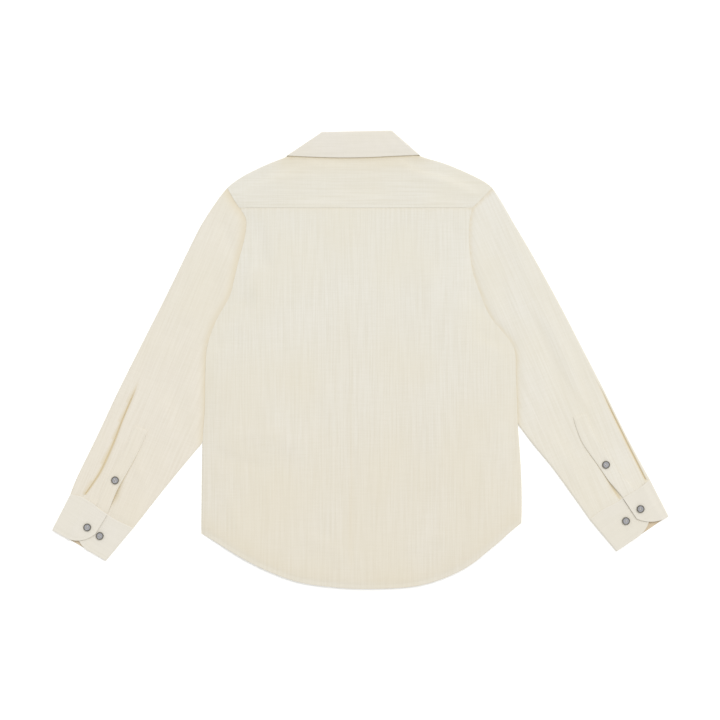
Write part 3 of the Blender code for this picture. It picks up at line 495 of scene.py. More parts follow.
def buildBand():
    xs = body["frontX"] + fronts["bandHalf"] * np.linspace(-1, 1, 15)
    rows = []
    for share in np.linspace(0, 1, 120):
        row = []
        for x in xs:
            y = mix(frontHemY(x), frontNeckY(x), share)
            edge = fronts["bandHalf"] - abs(x - body["frontX"])
            z = fronts["bandLow"] + 0.00015 * float(bell(edge - 0.005, 0.0009))
            row.append((x, y, z + 0.00006 * math.sin(y * 410 + 2 * math.sin(y * 90))))
        rows.append(row)
    band = gridSheet("front_band", rows, body["clothThickness"], 0)
    for vert in band.data.vertices:  # its outer face looks down, so the wall goes up
        vert.co.z += body["clothThickness"]


# Collar: a leaf that is turned down over a stand

collar = {
    "leafThickness": 0.0009,
    "leafTop": 0.0065,
    "standTop": 0.0043,
    "leafTurn": 0.0026,  # radius of the turn at each side of the neck
    "standTurn": 0.0018,
    "edgeStitch": 0.006,
    "rollDrop": 0.0016,  # how far the leaf falls at its roll line
    "crown": 0.0005,
    "ripple": 0.00012,
}
# columns: the roll line's x, y and the outer edge's x, y
leafBack = [
    (-57.8, 341.1, -110.8, 305.5), (-40, 341.4, -80, 304), (-23, 341.8, -48, 302.9),
    (-5, 342.1, -18, 302.6), (13, 342.5, 15, 303.2), (30, 342.8, 48, 304.8), (47.4, 343.2, 89.3, 306.6)]
wingLeft = [
    (-8, 268, -62, 228), (-37, 283, -83, 252), (-53, 311, -98.5, 280), (-57.8, 341.1, -110.8, 305.5)]
wingRight = [(-2, 268, 52, 228), (26, 283, 67, 252), (42, 311, 79, 280), (47.4, 343.2, 89.3, 306.6)]
standBack = [
    (-55.3, 338.5, -78.5, 322.5), (-38, 339.8, -43, 313.5), (-5, 340.4, -5, 311.5),
    (28, 341.2, 34, 313), (45, 340.5, 65, 320.5)]
standLeft = [
    (8, 270.5, 8, 242.5), (-5, 269, -5, 241), (-33, 283, -52, 259), (-49, 310, -73.5, 290),
    (-55.3, 338.5, -78.5, 322.5)]
standRight = [
    (-18, 270.5, -18, 242.5), (-5, 269, -5, 241), (22.5, 283, 41, 259), (38.5, 310, 62, 290),
    (45, 340.5, 65, 320.5)]


def crossings(rows, count):
    rows = np.array(rows)
    lines = []
    for pair in (rows[:, :2], rows[:, 2:]):
        fine = smoothLine(pair, 0.001)
        at = np.linspace(0, len(fine) - 1, count + 1)
        lines.append(np.stack([np.interp(at, range(len(fine)), c) for c in fine.T], 1))
    return np.stack(lines, 1)  # station, end, x and y


def turnStations(low, high, start, inward, radius, upwards):
    # the half round at a side of the neck, from the lower part to the upper one or back
    stations = []
    for k in range(1, 10):
        angle = math.radians(-90 + 18 * k)
        reach = radius * (1 - math.cos(angle))
        ends = []
        for a, b in zip(start, inward[0] if angle < 0 else inward[1]):
            ends.append(a + (b - a) * min(1, reach / np.hypot(*(b - a))))
        z = (low + high) / 2 + (high - low) / 2 * math.sin(angle)
        stations.append((np.array(ends), z, math.sin(angle)))
    return stations if upwards else stations[::-1]


def bandRoundNeck(left, back, right, lows, high, radius, counts):
    first, over = crossings(left, counts[0]), crossings(back, counts[1])
    last = crossings(right, counts[0])[::-1]
    (leftEnd, leftSide), (rightSide, rightEnd) = lows
    stations = [(s, mix(leftEnd, leftSide, ease(3 * k / counts[0] - 1)), -1)
                for k, s in enumerate(first[:-1])]
    stations += turnStations(leftSide, high, over[0], (first[-2], over[1]), radius, True)
    stations += [(s, high, 1) for s in over[1:-1]]
    stations += turnStations(rightSide, high, over[-1], (last[1], over[-2]), radius, False)
    stations += [(s, mix(rightSide, rightEnd, ease(1.5 * k / counts[0] - 0.5)), -1)
                 for k, s in enumerate(last[1:], 1)]
    return stations


def buildLeaf():
    stations = bandRoundNeck(wingLeft, leafBack, wingRight, ((0, 0), (0, 0)), collar["leafTop"],
                             collar["leafTurn"], (22, 56))
    shares = np.array([0, 0.006, 0.02, 0.045, 0.08, 0.15, 0.25, 0.35, 0.45, 0.55, 0.65, 0.74,
                       0.80, 0.84, 0.875, 0.91, 0.95, 0.975, 0.992, 1])
    rows = []
    for n, ((roll, edge), z, look) in enumerate(stations):
        width = np.hypot(*(edge - roll))
        plan = roll + (edge - roll) * shares[:, None]
        fromRoll, fromEdge = shares * width, (1 - shares) * width
        sink = collar["rollDrop"] * (1 - rounded(fromRoll, collar["leafTurn"]))
        sink += 0.0003 * (1 - rounded(fromEdge, 0.0012))
        sink += 0.00018 * bell(fromEdge - collar["edgeStitch"], 0.0007)
        crown = (collar["crown"] + collar["ripple"] * np.sin(n * 0.83)) * np.sin(np.pi * shares)
        rows.append(np.column_stack([plan, z - look * sink + crown * max(0, look)]))
    gridSheet("collar_leaf", rows, collar["leafThickness"], len(rows) // 2)


def buildStand():
    lows = ((0.0036, 0.0018), (0.0018, 0.0023))  # at the neck: left end and side, right side and end
    stations = bandRoundNeck(standLeft, standBack, standRight, lows, collar["standTop"],
                             collar["standTurn"], (24, 40))
    shares = np.linspace(0, 1, 9)
    rows = [np.column_stack([roll + (edge - roll) * shares[:, None], np.full(9, z)])
            for (roll, edge), z, _ in stations]
    gridSheet("collar_stand", rows, body["clothThickness"], len(rows) // 2)


# Sleeves, plackets and cuffs

sleeveShape = {
    "thick": 0.0036,
    "thin": 0.0026,
    "foldHeight": 0.0016,
    "foldRound": 0.0030,
    "stripWidth": 0.022,
    "pleatDepth": 0.0017,
    "pleatFlanks": (0.0006, 0.0012),  # the pleat's inner flank is steeper than its outer one
    "pleatTint": 0.0016,  # half the width of the shade in it
    "pleatOnset": {-1: 0.2, 1: 0.42},  # the share of its length over which a pleat opens
    "wedge": {-1: (0.79, 0.0040), 1: (0.90, 0.0024)},  # where the slit gapes, and how wide
    "slitDepth": 0.0003,
    "wedgeDepth": 0.0018,
    "stripThickness": 0.0006,
    "stripLift": 0.0013,
    "stripSink": {-1: 0.0005, 1: 0.0009},  # how low the strip's edge lies at the slit's top
    "tuckedTop": 0.0017,  # top face under the back's edge
    "tuckedMiddle": 0.00115,
    "overFront": 0.00062,  # underside on the front's edge
    "overCuff": 0.00098,  # underside in the cuff
    "slitDip": 0.0009,  # how much lower the strip lies in the cuff
    "spacing": 0.0048,
}
cuffShape = {
    "thickness": 0.0009,
    "foldIn": 0.0024,
    "underTop": 0.0036,
    "overTop": 0.0054,
    "overSink": 0.0014,  # the over lap lies lower where the under lap has ended
    "edgeStitch": 0.005,
    "stitchDent": 0.00013,
    "wave": 0.0001,
    "endLift": 0.0004,  # the over lap's end stands up this much
}
# Pleat and slit run from their upper ends to the cuff. The cuff's own frame starts at its
# outer corner: "along" its edge to the inner corner, and "deep" from the edge to the sleeve.
sleeves = {
    -1: {"outer": [(-200.3, 256.7), (-214, 239.5), (-237.5, 203.5), (-256, 167.5), (-291, 95.5),
                   (-327.5, 23.5), (-363.5, -48.5), (-394.5, -114.5), (-424.5, -176), (-434.6, -201.5)],
         "inner": [(-238.5, -126.5), (-255, -146), (-267.5, -161), (-298, -198.5), (-340.8, -253)],
         "pleat": [(-331, -27), (-339, -48.5), (-356.5, -89.5), (-370, -124.5), (-387.5, -163.5),
                   (-398, -181), (-412, -201)],
         "slit": [(-319, -106), (-330.5, -134), (-347.5, -165.5), (-361, -189), (-370.8, -209),
                  (-380.5, -229)],
         "cuff": {"corner": (-0.4619, -0.2550), "turn": -29.92, "inward": 1,
                  "edge": 0.093, "seamOut": -0.003, "seamIn": 0.104,
                  "seamDeep": [(0.0, 0.060), (0.17, 0.0645), (0.33, 0.0645), (0.56, 0.0615),
                               (0.75, 0.060), (1.0, 0.062)],
                  "overEnd": 0.0585, "overFrom": 0.022, "overRound": 0.038,
                  "underEnd": 0.033, "underFrom": 0.061, "underRound": 0.030}},
    1: {"outer": [(198.3, 256.7), (210, 239.5), (230.5, 203.5), (252, 167.5), (292, 95.5),
                  (329.5, 23.5), (366.5, -48.5), (399, -114.5), (432, -176), (434.6, -180.6)],
        "inner": [(237.5, -98.5), (258.5, -126.5), (287, -161), (314.5, -198.5), (343.6, -239.6)],
        "pleat": [(345, -18), (360.2, -44), (375.5, -75.5), (390.2, -105.5), (401.2, -128),
                  (416.5, -158), (427, -179)],
        "slit": [(318.5, -86), (331, -122), (355, -157), (374, -185), (388, -207)],
        "cuff": {"corner": (0.4619, -0.2345), "turn": -145.98, "inward": -1,
                 "edge": 0.0944, "seamOut": -0.0075, "seamIn": 0.101,
                 "seamDeep": [(0.0, 0.060), (0.20, 0.0590), (0.42, 0.0602), (0.56, 0.0600),
                              (0.78, 0.0630), (1.0, 0.0620)],
                 "overEnd": 0.042, "overFrom": 0.0, "overRound": 0.049,
                 "underEnd": 0.015, "underFrom": 0.056, "underRound": 0.042}},
}
sleeveCreases = {
    -1: [(-286, 82, -338, -45, 4, 14, -1.42), (-255, 59, -280, 15, -3, 13, -1.22),
         (-300, -60, -285, -135, 6, 18, 1.22), (-205, 215, -185, 150, -4, 11, -1.22),
         (-228, 190, -262, 110, 5, 13, 0.81), (-300, 40, -322, -20, 3, 8, 0.7),
         (-250, 20, -262, -60, -4, 12, 0.81), (-262, -60, -300, -150, 6, 11, -0.81),
         (-340, -120, -322, -190, -3, 8, 0.81), (-300, -170, -335, -225, 4, 9, -0.7),
         (-380, -100, -410, -170, 2, 7, 0.61), (-215, 130, -225, 70, 4, 10, -0.81)],
    1: [(270, 83.5, 353.5, -84.5, -5, 15, 1.42), (255, 70, 310, -55, 5, 13, -1.22),
        (300, -70, 325, -150, -6, 17, -1.22), (205, 205, 190, 140, 5, 11, -1.01),
        (232, 180, 262, 110, -4, 12, 0.81), (262, 10, 275, -70, 4, 12, 0.7),
        (330, -20, 350, -70, -2, 7, -0.81), (290, -120, 330, -195, 5, 9, 0.81),
        (348, -110, 372, -150, 2, 7, 0.7), (300, -165, 335, -215, -4, 8, -0.7),
        (212, 120, 232, 60, -4, 11, -0.81), (380, -90, 405, -140, 2, 6, 0.51)],
}


def tableValue(table, at):
    for (x0, y0), (x1, y1) in zip(table, table[1:]):
        if at <= x1:
            return mix(y0, y1, float(ease((at - x0) / (x1 - x0))))
    return table[-1][1]


def cuffPoint(cuff, along, deep):  # plan point in the cuff's frame
    turn = math.radians(cuff["turn"])
    return (cuff["corner"][0] + along * math.cos(turn) - deep * math.sin(turn) * cuff["inward"],
            cuff["corner"][1] + along * math.sin(turn) + deep * math.cos(turn) * cuff["inward"])


def alongSeam(cuff, across):  # the cuff flares at its two folds
    return (across * cuff["edge"] + cuff["seamOut"] * (1 - across) ** 4
            + (cuff["seamIn"] - cuff["edge"]) * across ** 4)


def seamPoint(cuff, across, above=0.0):
    return cuffPoint(cuff, alongSeam(cuff, across), tableValue(cuff["seamDeep"], across) + above)


def cuffPlace(cuff, across, deep):  # flares as it goes from the edge to the seam
    seamDeep = tableValue(cuff["seamDeep"], across) + 0.0008
    along = mix(across * cuff["edge"], alongSeam(cuff, across), deep / seamDeep)
    return cuffPoint(cuff, along, deep)


def roundCorner(along, start, radius, outward):
    off = max(0.0, (along - start) * outward)
    return radius - math.sqrt(max(0.0, radius ** 2 - min(off, radius) ** 2))


def overTop(cuff, along):
    sink = cuffShape["overSink"] * (1 - ease((along - cuff["underEnd"] + 0.012) / 0.010))
    return cuffShape["overTop"] - sink


def stripRows(side, count):  # the strip beside the slit, from its top end to the cuff
    shape = sleeves[side]
    slit = smoothLine(shape["slit"], 0.0015)
    at = np.linspace(0, len(slit) - 1, count + 1)
    slit = np.stack([np.interp(at, range(len(slit)), c) for c in slit.T], 1)
    cuff = shape["cuff"]
    foot = cuff["overEnd"] / cuff["edge"]
    width = sleeveShape["stripWidth"] / (cuff["seamIn"] - cuff["seamOut"])
    shares = np.array([1, 0.985, 0.95, 0.9, 0.78, 0.6, 0.4, 0.22, 0.1, 0.05, 0.015, 0])
    rows = np.stack([movedIn(slit, side * sleeveShape["stripWidth"] * s) for s in shares], 1)
    last = np.array([seamPoint(cuff, foot - width * s, -0.002) for s in shares])
    pull = ease((np.arange(count + 1) / count - 0.75) / 0.25)[:, None, None]
    return mix(rows, last[None] + (rows - rows[-1:]), pull), shares


def sleeveLines(side):
    shape = sleeves[side]
    under = (side * 0.1957 - (0.0020 if side < 0 else 0), 0.2578)  # beneath the yoke's corner
    outer = np.vstack([[under], smoothLine(shape["outer"])])
    cuff = shape["cuff"]
    seam = np.array([seamPoint(cuff, mix(0.006, 0.994, k / 24), -0.0014) for k in range(25)])
    near = bodyLines[side]
    near = near[(near[:, 1] > body["crotchY"][side]) & (near[:, 1] < body["underarmY"] + 0.004)]
    beside = movedIn(near, -side * body["tuck"])
    inner = np.vstack([beside, smoothLine(shape["inner"])])
    armholes = []
    for line in (bodyLines[side], frontArmhole(side)):
        upper = line[line[:, 1] > near[0][1] + 0.002]
        armholes.append(movedIn(upper, -side * 0.0018)[1:])
    return outer, seam, inner, armholes, near


def alongGap(side, xy, name):  # share of the gap's length, and the offset to its left
    line = smoothLine(sleeves[side][name], 0.004)
    _, along, off = nearLine(xy, line)
    return along / (0.004 * (len(line) - 1)), off


def pleatGap(side, xy):  # how far it sinks the cloth, and how much painted shade it gets
    share, off = alongGap(side, xy, "pleat")
    off = off * side
    swell = 1 + 0.35 * bell(share - 0.68, 0.22)
    inner, outer = sleeveShape["pleatFlanks"]
    onset = ease(share / sleeveShape["pleatOnset"][side])
    gap = bell(off, np.where(off > 0, inner, outer) * swell) * onset
    gap *= np.where((share <= 0) | (share >= 1), bell(off, 0.001), 1)
    return sleeveShape["pleatDepth"] * gap, bell(off, sleeveShape["pleatTint"] * swell) * onset


def slitGap(side, xy):
    # how far it sinks the cloth, and how much painted shade it gets, most where it gapes
    share, off = alongGap(side, xy, "slit")
    widest, width = sleeveShape["wedge"][side]
    gape = bell(share - widest, 0.15)
    gap = bell(off, mix(0.0010, width, gape)) * ease((share - 0.1) / 0.5)
    depth = mix(sleeveShape["slitDepth"], sleeveShape["wedgeDepth"], gape)
    return depth * gap, mix(0.5, 1.0, gape) * gap


def sleeveLevels(side, xy, lines, withGaps=True):
    # top face and bottom face of the sleeve, and the painted shade at each point: in the pleat and
    # slit, along the armhole and under the body's edge
    outer, seam, inner, armholes, near = lines
    cuff = sleeves[side]["cuff"]
    toFold = np.minimum(distanceTo(xy, outer), distanceTo(xy, inner))
    toSeam = distanceTo(xy, seam)
    toBody = distanceTo(xy, near)
    top = mix(sleeveShape["thin"], sleeveShape["thick"], np.maximum(
        ease((body["crotchY"][side] - xy[:, 1]) / 0.03), ease(distanceTo(xy, inner) / 0.022)))
    inside = ease(toFold / 0.012)
    top += creaseHeight(xy, sleeveCreases[side]) * inside * ease(toSeam / 0.02)
    deep = np.zeros(len(xy))
    if withGaps:
        for gap in (pleatGap, slitGap):
            sink, paintedShade = gap(side, xy)
            top -= sink
            deep = np.maximum(deep, paintedShade)
        # Painted shade along the armhole's seam, and painted shadow under the body's edge
        height = ease((xy[:, 1] - 0.05) / 0.15)
        reach = mix(0.0055, 0.0085, height) if side < 0 else 0.0038
        arm = bell(distanceTo(xy, bodyLines[side]), reach)
        deep = np.maximum(deep, mix(0.42, 0.48, height) * arm)
        deep = np.maximum(deep, 0.5 * bell(toBody, 0.0034))
    armhole = distanceTo(xy, armholes[0])
    edge = body["edgeHeight"] - body["clothThickness"] - 0.00006
    top = mix(edge, top, ease(armhole / 0.015))
    top = mix(sleeveShape["tuckedTop"], top, ease((toBody - 0.0005) / 0.012))
    turn = math.radians(cuff["turn"])
    alongCuff = (xy - cuff["corner"]) @ (math.cos(turn), math.sin(turn))
    over = ease((cuff["overEnd"] - alongCuff) / 0.003 + 0.5)
    level = mix(cuffShape["underTop"], overTop(cuff, alongCuff), over) - cuffShape["thickness"]
    stripFrom = cuff["overEnd"] - sleeveShape["stripWidth"]
    onStrip = ease((alongCuff - stripFrom) / 0.003) * over
    level = level - 0.00012 - sleeveShape["slitDip"] * onStrip
    top = mix(level, top, ease((toSeam - 0.0015) / 0.008))
    onFront = 1 - ease(np.minimum(distanceTo(xy, armholes[1]), toBody) / 0.010)
    inCuff = 1 - ease((toSeam - 0.0015) / 0.008)
    bottom = np.maximum(sleeveShape["overFront"] * onFront, sleeveShape["overCuff"] * inCuff)
    middle = mix(sleeveShape["tuckedMiddle"], sleeveShape["foldHeight"], ease((toBody - 0.0015) / 0.01))
    middle = mix(0.5 * level + 0.0006, middle, ease(toSeam / 0.016))
    turnIn = rounded(toFold, sleeveShape["foldRound"])
    return mix(middle, top, turnIn), mix(middle, bottom, turnIn), deep


foldSteps = np.array([0.0003, 0.001, 0.0019, 0.003])


def buildSleeve(side):
    lines = sleeveLines(side)
    outer, seam, inner, armholes, _ = lines
    shape = sleeves[side]
    pleat = smoothLine(shape["pleat"], 0.004)
    slit = smoothLine(shape["slit"], 0.005)
    folds = [*edgeGuides(outer, -side * foldSteps, 1, 0), *edgeGuides(inner, side * foldSteps, 2, 0)]
    gaps = [pleat, *[movedIn(pleat, d * side) for d in (0.0005, 0.0011, -0.0009, -0.0018, -0.0034)],
            slit, *[movedIn(slit, -d * side) for d in (-0.0012, 0.0009, 0.0018, 0.003)]]
    bm = bmesh.new()
    for armhole, guides, isUpper in ((armholes[0], folds + gaps, True), (armholes[1], folds, False)):
        outline = np.vstack([outer, seam, inner[::-1], armhole[::-1]])
        points, faces = cutSheet(outline, guides, sleeveShape["spacing"] * (1 if isUpper else 1.3))
        top, bottom, deep = sleeveLevels(side, points, lines)
        addLayer(bm, points, faces, top if isUpper else bottom, deep if isUpper else None, isUpper)
    bmesh.ops.remove_doubles(bm, verts=bm.verts[:], dist=0.00004)
    finishSheet("sleeve_" + sideNames[side], bm, body["clothThickness"])


def buildPlacket(side):
    lines = sleeveLines(side)
    plan, shares = stripRows(side, 60)
    rows = []
    for n, line in enumerate(plan):
        share = n / 60
        top, _, _ = sleeveLevels(side, line, lines, withGaps=False)
        fromEdge = np.minimum(shares, 1 - shares) * sleeveShape["stripWidth"]
        fromEnd = share * 0.13
        fromSlit = shares * sleeveShape["stripWidth"]
        fromOuter = (1 - shares) * sleeveShape["stripWidth"]
        lift = sleeveShape["stripLift"] * ease((np.minimum(fromOuter, fromEnd) + 0.0012) / 0.0050)
        sunk = mix(sleeveShape["stripSink"][side], 0.0005, share)
        lift = np.maximum(lift - sunk * (1 - rounded(fromSlit, 0.0012)), 0.00062)
        lift = lift - 0.00008 * bell(fromEdge - 0.0035, 0.0007)
        sink = 0.0004 * ease((share - 0.93) / 0.07)
        rows.append(np.column_stack([line, top + lift - sink]))
    gridSheet("placket_" + sideNames[side], rows, sleeveShape["stripThickness"], 0)


def cuffStations(cuff):
    edge = cuff["edge"]
    fold = cuffShape["foldIn"]
    under = cuffShape["underTop"]
    stations = []  # along, height, whether it looks up (1), out (0) or down (-1), and its lap
    for along in np.linspace(cuff["overEnd"], fold, 30):
        lift = cuffShape["endLift"] * (1 - ease((cuff["overEnd"] - along) / 0.010))
        stations.append((along, overTop(cuff, along) + lift, 1, "over"))
    over = overTop(cuff, 0)
    for angle in np.radians(np.arange(75, -90, -15)):
        z = over / 2 + over / 2 * math.sin(angle)
        stations.append((fold * (1 - math.cos(angle)), z, math.sin(angle), "fold"))
    for along in np.linspace(fold, edge - fold, 24):
        stations.append((along, 0.0, -1, "fold"))
    for angle in np.radians(np.arange(-75, 90, 15)):
        z = under / 2 + under / 2 * math.sin(angle)
        stations.append((edge - fold * (1 - math.cos(angle)), z, math.sin(angle), "fold"))
    for along in np.linspace(edge - fold, cuff["underEnd"], 30):
        stations.append((along, under, 1, "under"))
    return stations


def cornerDeep(cuff, along, lap):  # where the cuff's edge starts at its rounded corners
    if lap == "over":
        return roundCorner(along, cuff["overFrom"], cuff["overRound"], 1)
    if lap == "under":
        return roundCorner(along, cuff["underFrom"], cuff["underRound"], -1)
    return 0.0


def buildCuff(side):
    cuff = sleeves[side]["cuff"]
    shares = np.array([0, 0.005, 0.015, 0.04, 0.065, 0.08, 0.095, 0.14, 0.22, 0.32, 0.42, 0.52,
                       0.62, 0.72, 0.82, 0.89, 0.94, 0.97, 0.99, 1])
    rows = []
    for along, z, look, lap in cuffStations(cuff):
        across = along / cuff["edge"]
        start = cornerDeep(cuff, along, lap)
        end = tableValue(cuff["seamDeep"], across) + 0.0008
        deep = start + (end - start) * shares
        plan = [cuffPlace(cuff, across, d) for d in deep]
        fromEdge, fromSeam = deep - start, end - deep
        sink = 0.0002 * (1 - rounded(fromEdge, 0.0010)) + 0.0002 * (1 - rounded(fromSeam, 0.001))
        sink += cuffShape["stitchDent"] * bell(fromEdge - cuffShape["edgeStitch"], 0.0006)
        wave = cuffShape["wave"] * np.sin(along * 230 + deep * 90) * max(0, look)
        rows.append(np.column_stack([plan, z - sink * look + wave]))
    gridSheet("cuff_" + sideNames[side], rows, cuffShape["thickness"], 8, lined=True)


buildBack()
buildYoke()
print("back and yoke cut")
bandEdge = body["frontX"] + fronts["bandHalf"]
buildFront(1, bandEdge - 0.0015, fronts["bandLow"])
lapEdge = body["frontX"] + fronts["leftLap"]
buildFront(-1, lapEdge, fronts["bandLow"] + fronts["lapGap"])
buildBand()
print("fronts and band cut")
buildLeaf()
buildStand()
for side in (-1, 1):
    buildSleeve(side)
    buildPlacket(side)
    buildCuff(side)
print("collar, sleeves and cuffs cut")


# Materials

def hexColour(text):  # sRGB hex to linear
    parts = [int(text[k:k + 2], 16) / 255 for k in (1, 3, 5)]
    return (*[p / 12.92 if p <= 0.04045 else ((p + 0.055) / 1.055) ** 2.4 for p in parts], 1)


def addNode(tree, kind, inputs=None, output=0, **settings):  # gives the node's output
    node = tree.nodes.new("ShaderNode" + kind)
    for name, value in settings.items():
        setattr(node, name, value)
    for socket, value in (inputs or {}).items():
        if isinstance(value, bpy.types.NodeSocket):
            tree.links.new(value, node.inputs[socket])
        else:
            node.inputs[socket].default_value = value
    return node.outputs[output]


def newMaterial(name, values):  # values by the shader's socket names
    material = bpy.data.materials.new(name)
    material.use_nodes = True
    tree = material.node_tree
    shader = tree.nodes["Principled BSDF"]
    for socket, value in values.items():
        shader.inputs[socket].default_value = value
    return material, tree, shader


def blend(tree, share, one, other, how="MIX"):  # of sRGB hex colours or sockets
    ends = [hexColour(end) if isinstance(end, str) else end for end in (one, other)]
    return addNode(tree, "Mix", {0: share, 6: ends[0], 7: ends[1]}, output=2, data_type="RGBA",
                   blend_type=how)


def reckon(tree, operation, *values):
    return addNode(tree, "Math", dict(enumerate(values)), operation=operation)


clothLook = {
    "light": "#e6e3d9",  # undyed cream
    "dark": "#dad5c6",  # the thicker slub threads
    "warm": "#e3ddcb",
    "low": "#fdfaf6",  # multiplied in towards the hem, making the cloth a little darker and warmer there
    "gap": "#d9caa9",  # painted shade: the warm tan that folds, gaps, seams and edges are tinted towards
    "slubWidth": 2.2,  # mm; the real slubs are about 0.7 mm, drawn coarser to show
    "slubLength": 70,
    "slubStrength": 0.44,
    "crossStrength": 0.18,  # of the slubs across the grain
    "threadSpacing": 0.9,  # mm; the real threads lie 0.35 mm apart, drawn coarser to show
}


def shirtingMaterial(name, grain, look=clothLook, slubs=1.0):
    # Slubbed plain weave of cotton and linen, washed and pressed: matt, with uneven threads
    # that run along the grain, and a faint sheen at the folds.
    material, tree, shader = newMaterial(name, {
        "Roughness": 0.82, "IOR": 1.46, "Sheen Weight": 0.12, "Sheen Roughness": 0.45,
        "Specular IOR Level": 0.25})
    place = addNode(tree, "TexCoord", output="Object")
    turned = addNode(tree, "Mapping", {"Vector": place, "Rotation": (0, 0, math.radians(grain)),
                                       "Scale": (1000, 1000, 1000)})

    def streaks(width, length, detail=2.0):
        scaled = addNode(tree, "VectorMath", {0: turned, 1: (1 / width, 1 / length, 0.2)},
                         operation="MULTIPLY")
        noise = addNode(tree, "TexNoise", {"Vector": scaled, "Scale": 1.0, "Detail": detail,
                                           "Roughness": 0.55})
        return addNode(tree, "MapRange", {"Value": noise, "From Min": 0.36, "From Max": 0.68})

    along = streaks(look["slubWidth"], look["slubLength"])
    across = streaks(look["slubLength"] * 0.4, look["slubWidth"] * 0.8)
    clouds = streaks(95, 120, 1.0)
    threads = [addNode(tree, "TexWave", {"Vector": turned, "Distortion": 0.6, "Detail": 1.0,
                                         "Scale": 0.314 / look["threadSpacing"]},
                       output="Fac", bands_direction=axis) for axis in ("X", "Y")]
    slub = reckon(tree, "MULTIPLY", along, look["slubStrength"] * slubs)
    slub = reckon(tree, "MULTIPLY_ADD", across, look["crossStrength"] * slubs, slub)
    colour = blend(tree, slub, look["light"], look["dark"])
    colour = blend(tree, reckon(tree, "MULTIPLY", clouds, 0.4), colour, look["warm"])
    height = addNode(tree, "SeparateXYZ", {0: place}, output="Y")
    lowness = addNode(tree, "MapRange", {"Value": height, "From Min": 0.20, "From Max": -0.30},
                      interpolation_type="SMOOTHSTEP")
    colour = blend(tree, lowness, colour, look["low"], "MULTIPLY")
    # Painted shade: the colour goes towards the gap's tan as far as the "deep" attribute says
    deep = addNode(tree, "Attribute", output="Fac", attribute_name="deep")
    colour = blend(tree, deep, colour, look["gap"])
    tree.links.new(colour, shader.inputs["Base Color"])
    weave = reckon(tree, "ADD", *threads)
    relief = reckon(tree, "MULTIPLY_ADD", weave, 0.3, slub)
    bump = addNode(tree, "Bump", {"Height": relief, "Strength": 0.35, "Distance": 0.00022})
    tree.links.new(bump, shader.inputs["Normal"])
    return material


def dress(piece, material, inside=None):
    indexes = [polygon.material_index for polygon in piece.data.polygons]
    piece.data.materials.clear()
    piece.data.materials.append(material)
    if inside:
        piece.data.materials.append(inside)
        piece.data.polygons.foreach_set("material_index", indexes)


lengthwise = shirtingMaterial("SlubbedShirtingLengthwise", 0)
crosswise = shirtingMaterial("SlubbedShirtingCrosswise", 90)
# The two sleeves are one cloth. Their copies differ as painted light and shade: the left is painted a
# little darker and warmer, the right a little lighter.
shadedLeftLook = {**clothLook, "light": "#e7e2d6", "dark": "#dcd5c6", "low": "#fffdfb"}
litRightLook = {**clothLook, "light": "#e8e5dc", "dark": "#dcd7c9", "low": "#fffdfa"}
sleeveCloth = {-1: shirtingMaterial("SlubbedShirtingLeftSleeve", 22.6, shadedLeftLook),
               1: shirtingMaterial("SlubbedShirtingRightSleeve", -23.6, litRightLook)}
stiffLook = {**clothLook, "light": "#e5e0d6", "dark": "#dcd7cb", "low": "#ffffff",
             "slubLength": 45}
collarCloth = shirtingMaterial("InterlinedShirtingCollar", 90, stiffLook, 0.8)
# Painted shade: a darker tan copy of the cloth for the cuffs' inside faces, where they show in the
# shadow of the laps
shadedLook = {**clothLook, "light": "#d7c6ab", "dark": "#cdbb9d", "warm": "#d2c0a4",
              "low": "#ffffff"}
cuffInsideShade = shirtingMaterial("InterlinedShirtingCuffInside", 20, shadedLook, 0.6)
cuffCloth = {side: shirtingMaterial("InterlinedShirtingCuff" + sideNames[side].title(),
                                    90 - sleeves[side]["cuff"]["turn"], stiffLook, 0.7)
             for side in (-1, 1)}

for name in ("backCloth", "frontLeftCloth", "frontRightCloth"):
    dress(sheets[name], lengthwise)
dress(sheets["yokeCloth"], crosswise)
dress(sheets["frontBandCloth"], lengthwise)
for name in ("collarLeafCloth", "collarStandCloth"):
    dress(sheets[name], collarCloth)
for side, word in sideNames.items():
    dress(sheets[clothName("sleeve_" + word)], sleeveCloth[side])
    dress(sheets[clothName("placket_" + word)], sleeveCloth[side])
    dress(sheets[clothName("cuff_" + word)], cuffCloth[side], cuffInsideShade)


def threadMaterial():
    # Spun polyester sewing thread, matched to the cloth: a tight twist with a soft lustre
    material, tree, shader = newMaterial("SpunSewingThread", {"Roughness": 0.6, "IOR": 1.5})
    place = addNode(tree, "TexCoord", output="Object")
    noise = addNode(tree, "TexNoise", {"Vector": place, "Scale": 900.0, "Detail": 1.0})
    tree.links.new(blend(tree, noise, "#e6e2d5", "#d9d4c4"), shader.inputs["Base Color"])
    return material


def pearlMaterial():
    # Smoked mother-of-pearl, turned and polished: grey-brown rim, bluish lighter dish with
    # faint growth bands, and a clear gloss.
    material, tree, shader = newMaterial("SmokedMotherOfPearl", {
        "Roughness": 0.24, "IOR": 1.53, "Coat Weight": 0.3, "Coat Roughness": 0.1})
    place = addNode(tree, "TexCoord", output="Object")
    bands = addNode(tree, "TexNoise", {"Vector": place, "Scale": 260.0, "Detail": 3.0,
                                       "Distortion": 1.5})
    rim = addNode(tree, "Attribute", output="Fac", attribute_name="rim")
    dish = blend(tree, bands, "#8d8c8e", "#b5b6be")
    tree.links.new(blend(tree, rim, dish, "#5d584c"), shader.inputs["Base Color"])
    return material


thread = threadMaterial()
pearl = pearlMaterial()
print("materials made")


# Buttons, all copies of one

button = {
    "radius": 0.00575,
    "thickness": 0.0021,
    "rimWidth": 0.0011,
    "dish": 0.0006,
    "holeRadius": 0.00075,
    "holeOffset": 0.0011,
    "threadRadius": 0.00035,
    "softened": 0.00022,  # how far the edges are rounded
}


